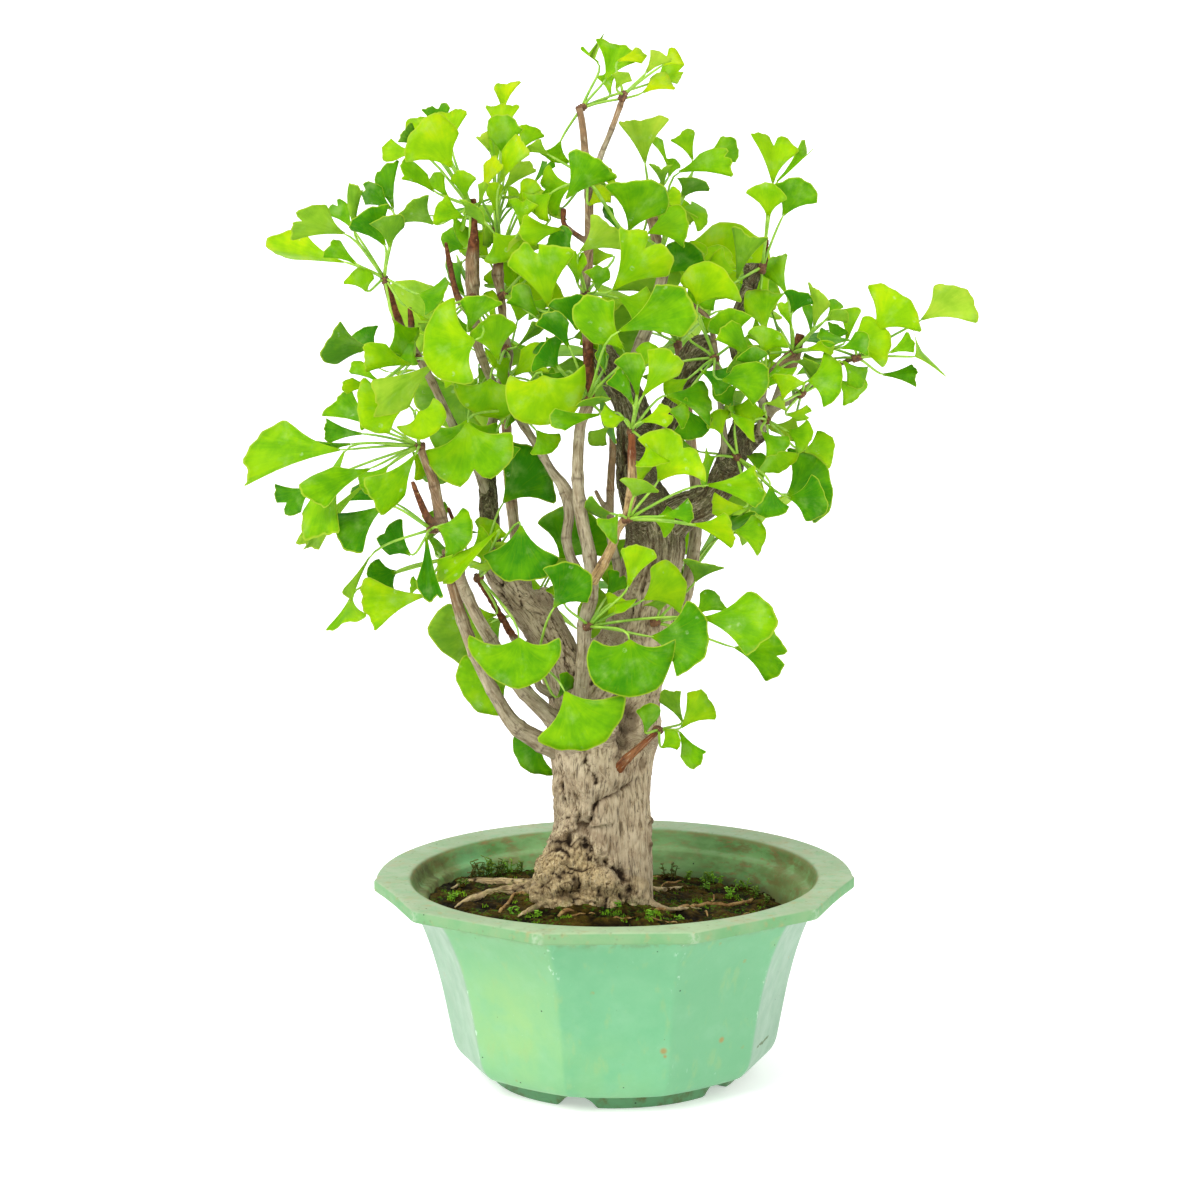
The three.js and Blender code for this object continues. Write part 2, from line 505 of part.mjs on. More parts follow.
// Each tuft sits on a bud at a drawn point of its stem. A leaf is drawn by three points: the
// foot of its blade and the two ends of its rim, [footX, footZ, leftX, leftZ, rightX, rightZ],
// then the depth of the foot in front of (-) or behind (+) the bud, and, where the blade is
// foreshortened, its true length.
const TUFTS = {
  leaves_top: ['front_shoot', -20, 670, [
    [-2, 690, -9, 713, 20, 699, 0], [1, 680, -8, 692, 4, 692, 8],
    [-7, 701, -17, 711, -11, 704, 12], [30, 688, 37, 696, 47, 686, 14],
    [23, 681, 28, 691, 43, 684, 2],
  ]],
  leaves_top_fork: ['front_shoot', 9, 677, [
    [6, 702, 19, 712, 22, 702, 8], [25, 694, 29, 710, 41, 703, -4], [36, 699, 40, 709, 50, 699, 8],
    [5, 684, 3, 694, 14, 690, -10],
  ]],
  leaves_crown: ['back_top_shoot', 27, 605, [
    [24, 634, 5, 655, 39, 658, -8], [39, 633, 31, 648, 37, 650, 2],
    [36, 619, 26, 632, 43, 632, -18], [40, 625, 38, 636, 48, 631, 8],
    [34, 608, 42, 617, 46, 602, -26], [8, 612, -5, 624, 1, 630, -14],
  ]],
  leaves_crown_right: ['back_top_shoot', 34, 573, [
    [56, 636, 44, 649, 57, 652, 10], [62, 634, 74, 650, 84, 634, 2],
    [47, 628, 60, 639, 82, 625, -12], [49, 611, 46, 625, 66, 617, -20],
    [44, 577, 55, 580, 60, 566, -4], [39, 560, 40, 577, 66, 560, -24],
    [59, 563, 64, 573, 84, 563, 0], [26, 587, 36, 603, 50, 580, -34],
  ]],
  leaves_centre_high: ['front_shoot', -16, 626, [
    [-41, 640, -56, 642, -46, 650, -4], [-29, 611, -27, 636, 1, 621, -24],
    [-14, 606, -10, 619, 1, 609, 12], [13, 589, 1, 617, 35, 600, -12],
    [7, 588, -5, 598, 1, 603, 2],
  ]],
  leaves_centre_knot: ['front_shoot', -17, 544, [
    [-22, 553, -28, 566, -15, 568, -8], [-9, 549, -17, 562, -1, 556, -14],
    [-23, 522, -40, 537, -9, 538, -12], [-20, 575, -11, 599, 8, 578, -22],
    [2, 572, -10, 578, -8, 566, 12], [2, 549, 4, 588, 37, 555, -28],
    [-26, 573, -43, 578, -26, 587, 6],
  ]],
  leaves_upper_mid: ['slim_shoot', -77, 588, [
    [-86, 615, -83, 632, -72, 631, -18], [-78, 622, -80, 651, -72, 645, 2],
    [-73, 648, -82, 670, -61, 670, 10], [-71, 669, -79, 681, -60, 686, 20],
    [-70, 637, -80, 652, -58, 659, -6], [-60, 643, -61, 658, -45, 652, 12],
    [-80, 642, -90, 649, -81, 653, -2],
  ]],
  leaves_upper_knot: ['slim_shoot', -76, 570, [
    [-74, 621, -72, 641, -53, 640, -20], [-72, 616, -66, 632, -51, 629, -8],
    [-62, 605, -60, 621, -46, 617, -18], [-78, 603, -82, 613, -70, 616, 12],
    [-60, 592, -68, 607, -50, 604, -26], [-40, 600, -56, 608, -42, 614, 4],
    [-60, 570, -69, 572, -63, 584, 10], [-50, 622, -46, 637, -38, 633, 14],
  ]],
  leaves_left_crown: ['diagonal_shoot', -92, 604, [
    [-97, 611, -106, 623, -91, 624, -12], [-88, 606, -88, 620, -83, 618, -22],
    [-98, 598, -117, 594, -108, 612, -26], [-118, 616, -140, 624, -123, 626, -2],
    [-109, 612, -123, 619, -113, 627, 8], [-87, 600, -85, 580, -80, 590, 12],
    [-119, 594, -143, 597, -124, 614, -14], [-98, 577, -107, 575, -105, 592, 6],
    [-106, 632, -136, 639, -103, 654, -20], [-122, 645, -142, 650, -133, 662, -10],
    [-117, 646, -134, 661, -117, 664, 2], [-106, 648, -113, 667, -97, 666, 10],
    [-112, 652, -124, 668, -108, 669, 20], [-130, 642, -146, 650, -140, 638, 6],
  ]],
  leaves_left_tip: ['upper_left_shoot', -152, 556, [
    [-179, 588, -213, 584, -190, 601, -12], [-172, 568, -191, 572, -180, 582, -20],
    [-152, 580, -173, 590, -150, 604, -10], [-149, 579, -160, 595, -140, 592, -24],
    [-174, 592, -191, 601, -176, 603, 8], [-173, 590, -176, 603, -166, 616, -4],
    [-147, 604, -167, 607, -155, 618, 8], [-180, 569, -221, 566, -212, 584, 6],
    [-165, 549, -180, 554, -160, 557, -12], [-146, 605, -155, 616, -142, 635, 16],
  ]],
  leaves_left_shoulder: ['upper_left_shoot', -131, 504, [
    [-163, 510, -183, 500, -182, 527, -10], [-160, 509, -170, 508, -158, 526, 6],
    [-136, 499, -166, 495, -152, 512, -20], [-118, 500, -163, 490, -140, 477, -34],
    [-158, 488, -176, 493, -168, 499, 8], [-163, 485, -176, 490, -180, 480, -4],
  ]],
  leaves_far_left: ['left_long_shoot', -130, 441, [
    [-139, 471, -165, 490, -149, 456, -24], [-162, 457, -195, 464, -176, 482, 0],
    [-170, 452, -193, 462, -191, 446, 10], [-185, 441, -242, 415, -216, 459, 4],
    [-131, 467, -145, 455, -121, 474, -32], [-178, 445, -199, 448, -192, 440, 18],
    [-182, 440, -213, 406, -191, 390, -4], [-165, 428, -188, 428, -196, 403, -20],
    [-168, 418, -205, 396, -202, 380, 6], [-205, 415, -228, 417, -212, 400, 14],
    [-134, 437, -166, 420, -140, 412, -28],
  ]],
  leaves_left_knob: ['left_long_shoot', -119, 388, [
    [-156, 402, -191, 399, -172, 375, -8], [-148, 404, -178, 408, -166, 418, 8],
    [-127, 380, -131, 350, -115, 338, -22], [-166, 367, -183, 346, -178, 339, -2, 30],
    [-138, 368, -152, 368, -143, 392, 6],
  ]],
  leaves_low_left: ['left_low_shoot', -113, 367, [
    [-148, 357, -160, 364, -150, 339, -8], [-179, 340, -196, 318, -170, 328, -2, 34],
    [-128, 340, -167, 350, -163, 319, -14], [-130, 347, -138, 341, -136, 353, 8],
  ]],
  leaves_limb_high: ['slim_shoot', -71, 510, [
    [-82, 489, -104, 485, -62, 485, -34], [-77, 502, -95, 519, -66, 524, -46],
    [-98, 461, -124, 456, -79, 457, -50], [-63, 511, -52, 528, -50, 519, -8],
    [-66, 491, -60, 507, -42, 494, -18],
  ]],
  leaves_big_left: ['diagonal_shoot', -93, 546, [
    [-92, 515, -106, 542, -94, 490, -52], [-96, 523, -101, 539, -75, 539, -24],
    [-80, 530, -88, 544, -76, 543, 12], [-112, 540, -124, 539, -116, 548, -6],
  ]],
  leaves_diagonal: ['diagonal_shoot', -67, 468, [
    [-98, 459, -127, 438, -71, 450, -26], [-46, 491, -68, 487, -18, 493, -34],
    [-72, 455, -72, 469, -57, 465, 12], 
  ]],
  leaves_front_high: ['slim_shoot', -74, 545, [
    [-41, 537, -68, 562, -24, 569, -44], [-48, 530, -67, 539, -52, 548, -18],
    [-33, 590, -57, 599, -52, 579, -20], [-43, 579, -62, 585, -57, 571, -4],
  ]],
  leaves_front_bend: ['front_shoot', -16, 472, [
    [9, 508, -10, 514, 5, 543, -30], [6, 521, 32, 553, 48, 518, -42],
    [-8, 464, -40, 467, -34, 453, -16], [-2, 456, -14, 452, -4, 443, 8],
    [-28, 470, -42, 476, -30, 484, 10], [-28, 510, -50, 526, -30, 528, -10],
    [-37, 499, -52, 506, -38, 514, 4], [-3, 504, -20, 512, -3, 515, 14],
    [-30, 494, -47, 492, -33, 480, 16],
  ]],
  leaves_red_tip: ['red_shoot', 14, 451, [
    [18, 476, 6, 503, 25, 497, -6], [22, 477, 27, 505, 45, 489, -20],
    [22, 497, 18, 507, 37, 503, 8], [15, 471, 0, 484, 14, 485, -26],
    [9, 461, -4, 470, 4, 456, -14], [21, 459, 33, 471, 38, 455, -18],
    [38, 477, 63, 487, 69, 461, 2],
  ]],
  leaves_red_elbow: ['red_shoot', 9, 392, [
    [32, 418, 23, 449, 70, 421, -12], [65, 415, 96, 427, 97, 400, -20],
    [36, 394, 51, 405, 52, 389, -26], [56, 388, 76, 395, 79, 371, -6],
    [84, 383, 95, 392, 99, 368, 6],
  ]],
  leaves_right_fork: ['right_shoots', 105, 486, [
    [84, 511, 67, 519, 95, 529, -12], [97, 499, 74, 514, 90, 522, -26],
    [103, 506, 95, 519, 119, 510, -18], [97, 494, 86, 500, 106, 504, -38],
    [108, 498, 106, 509, 115, 503, 6], [105, 520, 93, 533, 117, 546, 10],
  ]],
  leaves_right_high: ['right_shoots', 122, 504, [
    [138, 523, 133, 550, 147, 535, -4], [123, 532, 119, 547, 136, 540, -12],
    [123, 523, 116, 531, 120, 539, -20], [146, 527, 150, 534, 160, 526, -14],
    [159, 509, 172, 527, 184, 498, -8], [134, 508, 142, 513, 150, 504, -22],
    [157, 508, 167, 517, 175, 503, -26], [160, 513, 158, 531, 170, 529, 8],
    [149, 510, 147, 525, 160, 518, 14], [119, 546, 103, 559, 118, 571, 6],
    [136, 519, 131, 532, 139, 533, 12], [148, 530, 148, 540, 158, 535, 22],
  ]],
  leaves_far_right: ['right_shoots', 166, 501, [
    [180, 520, 177, 548, 206, 522, -8], [211, 527, 219, 550, 246, 528, -4],
    [190, 505, 200, 518, 205, 505, -12], [207, 502, 205, 517, 224, 489, 0, 28],
    [185, 490, 204, 497, 208, 482, 8],
  ]],
  leaves_right_reach: ['right_shoots', 128, 477, [
    [134, 486, 146, 503, 146, 469, -14], [155, 486, 172, 487, 158, 470, 2],
    [117, 474, 110, 489, 131, 484, -26], [119, 463, 134, 469, 127, 458, 6],
    [158, 499, 177, 494, 163, 484, 14],
  ]],
  leaves_right_low: ['right_shoots', 104, 461, [
    [103, 451, 120, 447, 106, 434, -20], [120, 452, 133, 459, 127, 436, -10],
    [131, 438, 141, 450, 148, 427, 2], [106, 471, 114, 475, 118, 466, -22],
  ]],
  leaves_thin_shoot: ['right_thin_shoot', 72, 502, [
    [62, 493, 79, 495, 72, 477, -16], [76, 487, 84, 495, 99, 471, -6],
    [50, 468, 69, 460, 43, 451, -12], [52, 518, 49, 538, 56, 535, -14],
    [59, 539, 49, 552, 87, 541, -20], [62, 530, 64, 520, 74, 528, 6],
  ]],
  leaves_cut_branch: ['cut_branch', 103, 561, [
    [86, 556, 80, 587, 105, 580, -12], [117, 598, 112, 619, 139, 608, -6],
    [107, 597, 95, 615, 117, 610, -14], [110, 620, 91, 650, 124, 637, 2],
    [113, 621, 129, 644, 137, 636, 10],
  ]],
  leaves_right_edge: ['right_limb', 84, 438, [
    [120, 408, 122, 437, 138, 391, -8], [121, 406, 137, 420, 133, 392, -24],
    [109, 414, 96, 397, 120, 398, -26], [103, 417, 93, 433, 108, 428, 4],
    [91, 399, 71, 409, 78, 393, -22],
  ]],
  leaves_low_front: ['front_shoot', -19, 318, [
    [27, 310, 53, 334, 46, 282, -16], [12, 308, -13, 303, 42, 302, -36],
    [11, 345, 7, 368, 30, 366, -14], [22, 336, 25, 358, 46, 327, 2],
    [62, 323, 93, 340, 92, 296, -12], [-4, 338, -2, 356, 10, 345, 10],
  ]],
  leaves_trunk_right: ['trunk', 38, 318, [
    [57, 348, 49, 362, 76, 356, -10, 24], [84, 302, 110, 314, 106, 280, -2],
    [58, 326, 60, 338, 78, 328, 8],
  ]],
  leaves_left_base: ['left_low_shoot', -50, 236, [
    [-50, 237, -68, 240, -46, 214, 12],
  ]],
  leaves_sprout: ['trunk_sprouts', 30, 243, [
    [48, 250, 35, 264, 47, 272, -2], [47, 246, 51, 270, 70, 252, 10],
    [46, 243, 48, 226, 64, 228, -8], [22, 243, 17, 257, 30, 250, -14],
    [34, 232, 36, 245, 44, 231, -18],
  ]],
  leaves_low_left_limb: ['left_limb', -92, 352, [
    [-64, 310, -96, 304, -37, 303, -34], [-79, 384, -115, 360, -100, 352, -34, 42],
    [-62, 388, -86, 368, -38, 366, -26], [-74, 404, -75, 440, -42, 408, 10],
    [-80, 326, -91, 331, -90, 320, 10],
  ]],
  leaves_left_sprout: ['left_sprout', -52, 294, [
    [-33, 272, -54, 243, 3, 272, -48], [-40, 331, -46, 361, -18, 337, -36],
    [-72, 283, -102, 294, -76, 257, 12], [-38, 268, -34, 283, -26, 275, 4],
  ]],
};

// Leaves of the shoots at the back stand in open whorls. Each row is [stem, x, z, leaves,
// first heading in degrees, reach, blade length].
const WHORLS = {
  leaves_back_left_low: ['back_left_shoot', -54, 328, 8, 30, 44, 34],
  leaves_back_left_high: ['back_left_shoot', -70, 488, 10, 10, 44, 36],
  leaves_back_right_low: ['back_right_shoot', 53, 350, 8, 110, 44, 34],
  leaves_back_right_high: ['back_right_shoot', 46, 510, 10, 70, 42, 36],
};
const WHORL_LIFTS = [0.5, -0.35, 1.1, 0.1, 0.8];
const GOLDEN_TURN = 0.382 * FULL_TURN;

// The point of a stem's centreline nearest to a drawn point, with the stem's radius there and,
// at the tip of a stem, the way it points.
function stemAt(name, x, z) {
  let best = { distance: Infinity };
  const wanted = new THREE.Vector2(x, z);
  for (const rows of WOOD[name].limbs) {
    for (let i = 1; i < rows.length; i += 1) {
      const [before, after] = [rows[i - 1], rows[i]];
      const start = new THREE.Vector2(before[0], before[1]);
      const step = new THREE.Vector2(after[0], after[1]).sub(start);
      const along = wanted.clone().sub(start).dot(step) / step.lengthSq();
      const share = THREE.MathUtils.clamp(along, 0, 1);
      const distance = start.clone().addScaledVector(step, share).distanceTo(wanted);
      if (distance < best.distance) {
        const [px, pz, depth, radius] = before.map((value, k) =>
          THREE.MathUtils.lerp(value, after[k], share));
        const isTip = i === rows.length - 1 && share > 0.98;
        const tipHeading = isTip
          ? fromDrawing(...after).sub(fromDrawing(...before)).normalize()
          : null;
        best = { distance, centre: fromDrawing(px, pz, depth), radius, tipHeading };
      }
    }
  }
  return best;
}

// A flat fan: foot at the origin, axis along +X, its edges at plus and minus halfAngle.
function fan(leftEdge, rightEdge, halfAngle) {
  const crest = CREST * Math.max(leftEdge, rightEdge);
  const rim = [[-1, rightEdge], [-0.4, crest], [0.4, crest], [1, leftEdge]];
  const shape = new THREE.Shape();
  shape.moveTo(0, -BLADE_FOOT / 2);
  for (const [share, length] of rim) {
    shape.lineTo(length * Math.cos(share * halfAngle), length * Math.sin(share * halfAngle));
  }
  shape.lineTo(0, BLADE_FOOT / 2);
  return new THREE.ExtrudeGeometry(shape, { depth: BLADE_THICKNESS, bevelEnabled: false })
    .translate(0, 0, -BLADE_THICKNESS / 2);
}

// A straight, tapering leaf stalk.
const stalk = (start, end) =>
  tube([{ centre: start, radius: PETIOLE_RADIUS }, { centre: end, radius: PETIOLE_TIP }], 3);

// A leaf from its bud to the rim: foot, and the two rim corners, as real points.
function leafSolids(bud, foot, left, right) {
  const toLeft = left.clone().sub(foot);
  const toRight = right.clone().sub(foot);
  const axis = toLeft.clone().normalize().add(toRight.clone().normalize()).normalize();
  const normal = toRight.clone().cross(toLeft).normalize();
  const across = normal.clone().cross(axis);
  const turn = new THREE.Matrix4().makeBasis(axis, across, normal).setPosition(foot);
  const flat = fan(toLeft.length(), toRight.length(), toLeft.angleTo(toRight) / 2);
  const blade = solidOf(flat.applyMatrix4(turn));
  return { blade, stalk: stalk(bud, foot.clone().addScaledVector(axis, 1.5)) };
}

// Depth of a rim corner over its edge as drawn: a foreshortened blade has a true length, and
// any other leans the less the wider its fan, and rolls.
function cornerDepth(edge, trueLength, halfAngle, away, roll) {
  if (trueLength) {
    return away * Math.sqrt(Math.max(trueLength ** 2 - edge ** 2, 0));
  }
  return edge * (away * BLADE_LEAN * Math.cos(halfAngle) ** 2 + roll);
}

function drawnLeaf(row, index, bud, shift) {
  const [footX, footZ, leftX, leftZ, rightX, rightZ, depth, trueLength = 0] = row;
  const leftEdge = new THREE.Vector2(leftX - footX, leftZ - footZ);
  const rightEdge = new THREE.Vector2(rightX - footX, rightZ - footZ);
  const halfAngle = Math.acos(leftEdge.dot(rightEdge) / leftEdge.length() / rightEdge.length()) / 2;
  const away = depth < 0 ? -1 : 1;
  const roll = BLADE_ROLLS[index % BLADE_ROLLS.length];
  const footDepth = bud.y + depth + shift;
  const corner = (x, z, edge, side) => fromDrawing(
    x, z, footDepth + cornerDepth(edge.length(), trueLength, halfAngle, away, side * roll));
  return leafSolids(
    bud,
    fromDrawing(footX, footZ, footDepth),
    corner(leftX, leftZ, leftEdge, 1),
    corner(rightX, rightZ, rightEdge, -1),
  );
}

// Leaf number index of a whorl: its heading turns by the golden angle round the back of the
// stem, and its blade is rolled about its stalk.
function whorlLeaf(row, index, bud, shift) {
  const [, , , , firstHeading, reach, length] = row;
  const heading = THREE.MathUtils.degToRad(firstHeading) + index * GOLDEN_TURN;
  const lift = WHORL_LIFTS[index % WHORL_LIFTS.length];
  const out = new THREE.Vector3(Math.cos(heading), 0.7 * Math.sin(heading) + 0.45, lift).normalize();
  const foot = bud.clone().addScaledVector(out, reach * (0.7 + 0.13 * (index % 4)) + shift);
  const roll = 1.2 * Math.sin(2.3 * index + reach);
  const across = new THREE.Vector3(0, 0, 1).cross(out).normalize().applyAxisAngle(out, roll);
  const droop = out.clone().setZ(out.z - 0.4).normalize().multiplyScalar(0.62 * length);
  return leafSolids(
    bud, foot,
    foot.clone().add(droop).addScaledVector(across, 0.85 * length),
    foot.clone().add(droop).addScaledVector(across, -0.85 * length),
  );
}

const DEPTH_SHIFTS = [0];
for (let step = 1; step <= DEPTH_TRIES; step += 1) {
  DEPTH_SHIFTS.push(-step * DEPTH_STEP, step * DEPTH_STEP);
}

// A bud stands on the front or the back of its stem, whichever its leaves are on, or on the
// stem's tip.
function budAt(stem, x, z, meanFoot) {
  const { centre, radius, tipHeading } = stemAt(stem, x, z);
  if (tipHeading) {
    return centre.addScaledVector(tipHeading, BUD_STAND_OFF);
  }
  const out = meanFoot(centre.y).sub(centre).normalize();
  out.set(0.5 * out.x, Math.sign(out.y), 0.5 * out.z).normalize();
  return centre.addScaledVector(out, radius + BUD_STAND_OFF);
}

function drawnPlan([name, [stem, x, z, rows]]) {
  const meanFoot = (stemDepth) => rows.reduce(
    (sum, [footX, footZ, , , , , depth]) =>
      sum.addScaledVector(fromDrawing(footX, footZ, stemDepth + depth), 1 / rows.length),
    new THREE.Vector3(),
  );
  const bud = budAt(stem, x, z, meanFoot);
  const makers = rows.map((row, index) => (shift) => drawnLeaf(row, index, bud, shift));
  return { name, stem, bud, makers };
}

function whorlPlan([name, row]) {
  const [stem, x, z, count] = row;
  const bud = budAt(stem, x, z, (stemDepth) => fromDrawing(x, z, stemDepth + 10));
  const makers = Array.from({ length: count }, (_, index) => (shift) =>
    whorlLeaf(row, index, bud, shift));
  return { name, stem, bud, makers };
}

const plans = [
  ...Object.entries(TUFTS).map(drawnPlan),
  ...Object.entries(WHORLS).map(whorlPlan),
].map((plan) => {
  const { x, y, z } = plan.bud;
  const scales = solidOf(new THREE.OctahedronGeometry(BUD_RADIUS).translate(x, y, z));
  return { ...plan, scales };
});

const placed = Object.values(wood);

// Puts a leaf at the first depth where it clears every other piece and its sisters' blades.
function settle(makeLeaf, plan, sisters) {
  const otherBuds = plans.filter((other) => other !== plan).map(({ scales }) => scales);
  const neighbours = [...placed, ...otherBuds];
  for (const shift of DEPTH_SHIFTS) {
    const leaf = makeLeaf(shift);
    const bareStalk = leaf.stalk.subtract(plan.scales);
    const fits = isClear(leaf.blade, [...neighbours, plan.scales])
      && isClear(bareStalk, neighbours)
      && sisters.every((sister) =>
        isClear(leaf.blade, [sister.blade, sister.stalk]) && isClear(leaf.stalk, [sister.blade]));
    if (fits) {
      return leaf;
    }
  }
  return null;
}

function tuft(plan) {
  const leaves = [];
  for (const makeLeaf of plan.makers) {
    const leaf = settle(makeLeaf, plan, leaves);
    if (leaf) {
      leaves.push(leaf);
    }
  }
  const whole = joined([plan.scales, ...leaves.flatMap(({ blade, stalk: stem }) => [blade, stem])]);
  const solid = whole.subtract(swollen[plan.stem]);
  placed.push(solid);
  return solid;
}

// ---------------------------------------------------------------------------------------
// The assembly
// ---------------------------------------------------------------------------------------

const bonsai = new THREE.Group();
bonsai.add(meshOf('pot', pot(), glaze()));
bonsai.add(meshOf('soil', soil(), earth()));
for (const name of Object.keys(WOOD)) {
  bonsai.add(meshOf(name, wood[name], WOOD[name].bark()));
}
for (const plan of plans) {
  bonsai.add(meshOf(plan.name, tuft(plan), leafGreen()));
}

export default bonsai;
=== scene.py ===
# %% [markdown]
# # A ginkgo bonsai in its ten-sided pot
# The frame gives every piece of the plant its place, in metres, with Z up. Each lesson below says
# what one piece is on the real object, builds it around that frame, and gives it its finish.

import math

import bmesh
import bpy
import numpy as np
from mathutils import Matrix, Vector
from mathutils.bvhtree import BVHTree


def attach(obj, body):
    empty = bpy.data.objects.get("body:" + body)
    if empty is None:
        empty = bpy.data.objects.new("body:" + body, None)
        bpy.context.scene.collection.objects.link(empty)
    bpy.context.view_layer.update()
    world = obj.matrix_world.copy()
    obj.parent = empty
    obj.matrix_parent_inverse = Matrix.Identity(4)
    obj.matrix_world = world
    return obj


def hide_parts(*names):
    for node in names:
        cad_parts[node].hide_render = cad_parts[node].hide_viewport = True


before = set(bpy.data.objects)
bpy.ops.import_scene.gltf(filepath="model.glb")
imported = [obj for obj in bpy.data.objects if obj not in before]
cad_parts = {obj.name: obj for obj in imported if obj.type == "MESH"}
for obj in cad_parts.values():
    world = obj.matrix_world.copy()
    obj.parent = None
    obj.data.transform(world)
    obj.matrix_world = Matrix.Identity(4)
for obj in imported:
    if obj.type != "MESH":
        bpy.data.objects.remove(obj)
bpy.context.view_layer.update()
MM = 0.001
print("frame pieces:", len(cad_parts))

# %% [markdown]
# ## Camera
# The tree is seen from 2.5 m away, a little from above. A long lens at that distance keeps the
# pot's rim a flat ellipse and the branches undistorted. The camera leans very slightly clockwise.

# %% Camera
EYE = Vector((-8.4, -2465.3, 751.1)) * MM
LOOKS_DOWN = math.radians(9.56)
LEANS = math.radians(0.41)

camera_lens = bpy.data.cameras.new("camera")
camera_lens.lens = 109.2
camera_lens.sensor_width = 36
camera_lens.clip_end = 2000
camera = bpy.data.objects.new("camera", camera_lens)
camera.matrix_world = (
    Matrix.Translation(EYE)
    @ Matrix.Rotation(math.pi / 2 - LOOKS_DOWN, 4, "X")
    @ Matrix.Rotation(-LEANS, 4, "Z")
)
bpy.context.scene.collection.objects.link(camera)
bpy.context.scene.camera = camera

# %% [markdown]
# ## Node helpers
# A material is a small network. These helpers keep each network readable: `add` puts in a node,
# sets its plain values and links its sockets, `mix` lays one colour over another through a mask,
# `coats` lays a whole list of tones in turn, and `finish` joins the result to the shader. A screen
# colour becomes the linear numbers that a shader uses in `colour`.

# %% Node helpers
def colour(code):
    """A screen colour such as "#84d4a0" as linear red, green, blue and alpha."""
    channels = [int(code[i : i + 2], 16) / 255 for i in (1, 3, 5)]
    linear = [c / 12.92 if c <= 0.04045 else ((c + 0.055) / 1.055) ** 2.4 for c in channels]
    return (*linear, 1)


def put(tree, value, socket):
    """Fills a socket: another node's output is linked, and anything else is set on it."""
    if isinstance(value, bpy.types.NodeSocket):
        tree.links.new(value, socket)
    elif isinstance(value, str):
        socket.default_value = colour(value)
    else:
        socket.default_value = value


def add(tree, kind, values=None, **settings):
    """A new node of the given kind. Settings are its properties and values fill its sockets."""
    made = tree.nodes.new("ShaderNode" + kind)
    for key, value in settings.items():
        setattr(made, key, value)
    for key, value in (values or {}).items():
        put(tree, value, made.inputs[key])
    return made


def mix(tree, mask, under, over):
    """One colour laid over another where the mask is 1."""
    return add(tree, "Mix", {0: mask, 6: under, 7: over}, data_type="RGBA").outputs[2]


def sums(tree, how, first, second=0.0, clamp=False):
    """A Math node's result."""
    return add(tree, "Math", {0: first, 1: second}, operation=how, use_clamp=clamp).outputs[0]


def times(tree, *masks):
    """Masks multiplied together."""
    total = masks[0]
    for mask in masks[1:]:
        total = sums(tree, "MULTIPLY", total, mask)
    return total


def coats(tree, skin, *layers):
    """Lays coats over a skin in turn: each is a tone and the masks that say where it lies."""
    for tone, *masks in layers:
        skin = mix(tree, times(tree, *masks), skin, tone)
    return skin


def spread(tree, value, low, high, to_low=0.0, to_high=1.0):
    """Stretches a value's range from low to high, smoothly and clamped."""
    made = add(tree, "MapRange", {"Value": value, "From Min": low, "From Max": high,
                                  "To Min": to_low, "To Max": to_high},
               interpolation_type="SMOOTHSTEP")
    return made.outputs[0]


def own(tree, name):
    """A number that the mesh keeps for each of its points."""
    return add(tree, "Attribute", attribute_name=name).outputs["Fac"]


def stretched(tree, at, scale):
    """Coordinates made longer or shorter along each axis."""
    return add(tree, "VectorMath", {0: at, 1: scale}, operation="MULTIPLY").outputs["Vector"]


def near(tree, at, centre, reach, softness=0.5):
    """1 close to a place given in millimetres, fading out at `reach` millimetres from it."""
    far = add(tree, "VectorMath", {0: at, 1: [c * MM for c in centre]}, operation="DISTANCE")
    return spread(tree, far.outputs["Value"], reach * MM, reach * MM * softness)


def new_material(name):
    """A material with its tree and its Principled shader."""
    material = bpy.data.materials.new(name)
    material.use_nodes = True
    return material, material.node_tree, material.node_tree.nodes["Principled BSDF"]


def finish(tree, shader, values, relief=None):
    """Fills the shader's sockets. A relief is a height, its strength and its depth in metres."""
    if relief:
        bump = add(tree, "Bump", dict(zip(("Height", "Strength", "Distance"), relief)))
        values = {**values, "Normal": bump.outputs["Normal"]}
    for socket, value in values.items():
        put(tree, value, shader.inputs[socket])


def new_group(name, inputs, outputs):
    """A node group with named sockets. Returns its tree, its inputs and its outputs to fill."""
    tree = bpy.data.node_groups.new(name, "ShaderNodeTree")
    kinds = {"v": "NodeSocketVector", "f": "NodeSocketFloat"}
    for socket, (kind, value) in inputs.items():
        made = tree.interface.new_socket(name=socket, in_out="INPUT", socket_type=kinds[kind])
        if kind == "f":
            made.default_value = value
    for socket in outputs:
        tree.interface.new_socket(name=socket, in_out="OUTPUT", socket_type=kinds["f"])
    entry, result = tree.nodes.new("NodeGroupInput"), tree.nodes.new("NodeGroupOutput")
    return tree, entry.outputs, result.inputs


def place_group(tree, group, values):
    """Puts a shared group in a material and fills its inputs."""
    made = add(tree, "Group", node_tree=group)
    for key, value in values.items():
        put(tree, value, made.inputs[key])
    return made.outputs


# %% [markdown]
# ## Shared surface effects
# Three effects come back on many of these surfaces, so each is a node group built once. `Mottle`
# is soft cloudy patches: stains on the pot, tones in the bark and the leaves. `Pin specks` are
# scattered dots: pits, lichen, scuffs. `Fibres` are fine lines along a length: bark and veins.

# %% Shared surface effects
MOTTLE, given, result = new_group(
    "mottle", {"Vector": ("v", None), "Scale": ("f", 20), "Low": ("f", 0.4), "High": ("f", 0.6)},
    ["Mask"])
cloud = add(MOTTLE, "TexNoise", {"Vector": given["Vector"], "Scale": given["Scale"],
                                 "Detail": 5.0, "Roughness": 0.6})
put(MOTTLE, spread(MOTTLE, cloud.outputs["Fac"], given["Low"], given["High"]), result["Mask"])

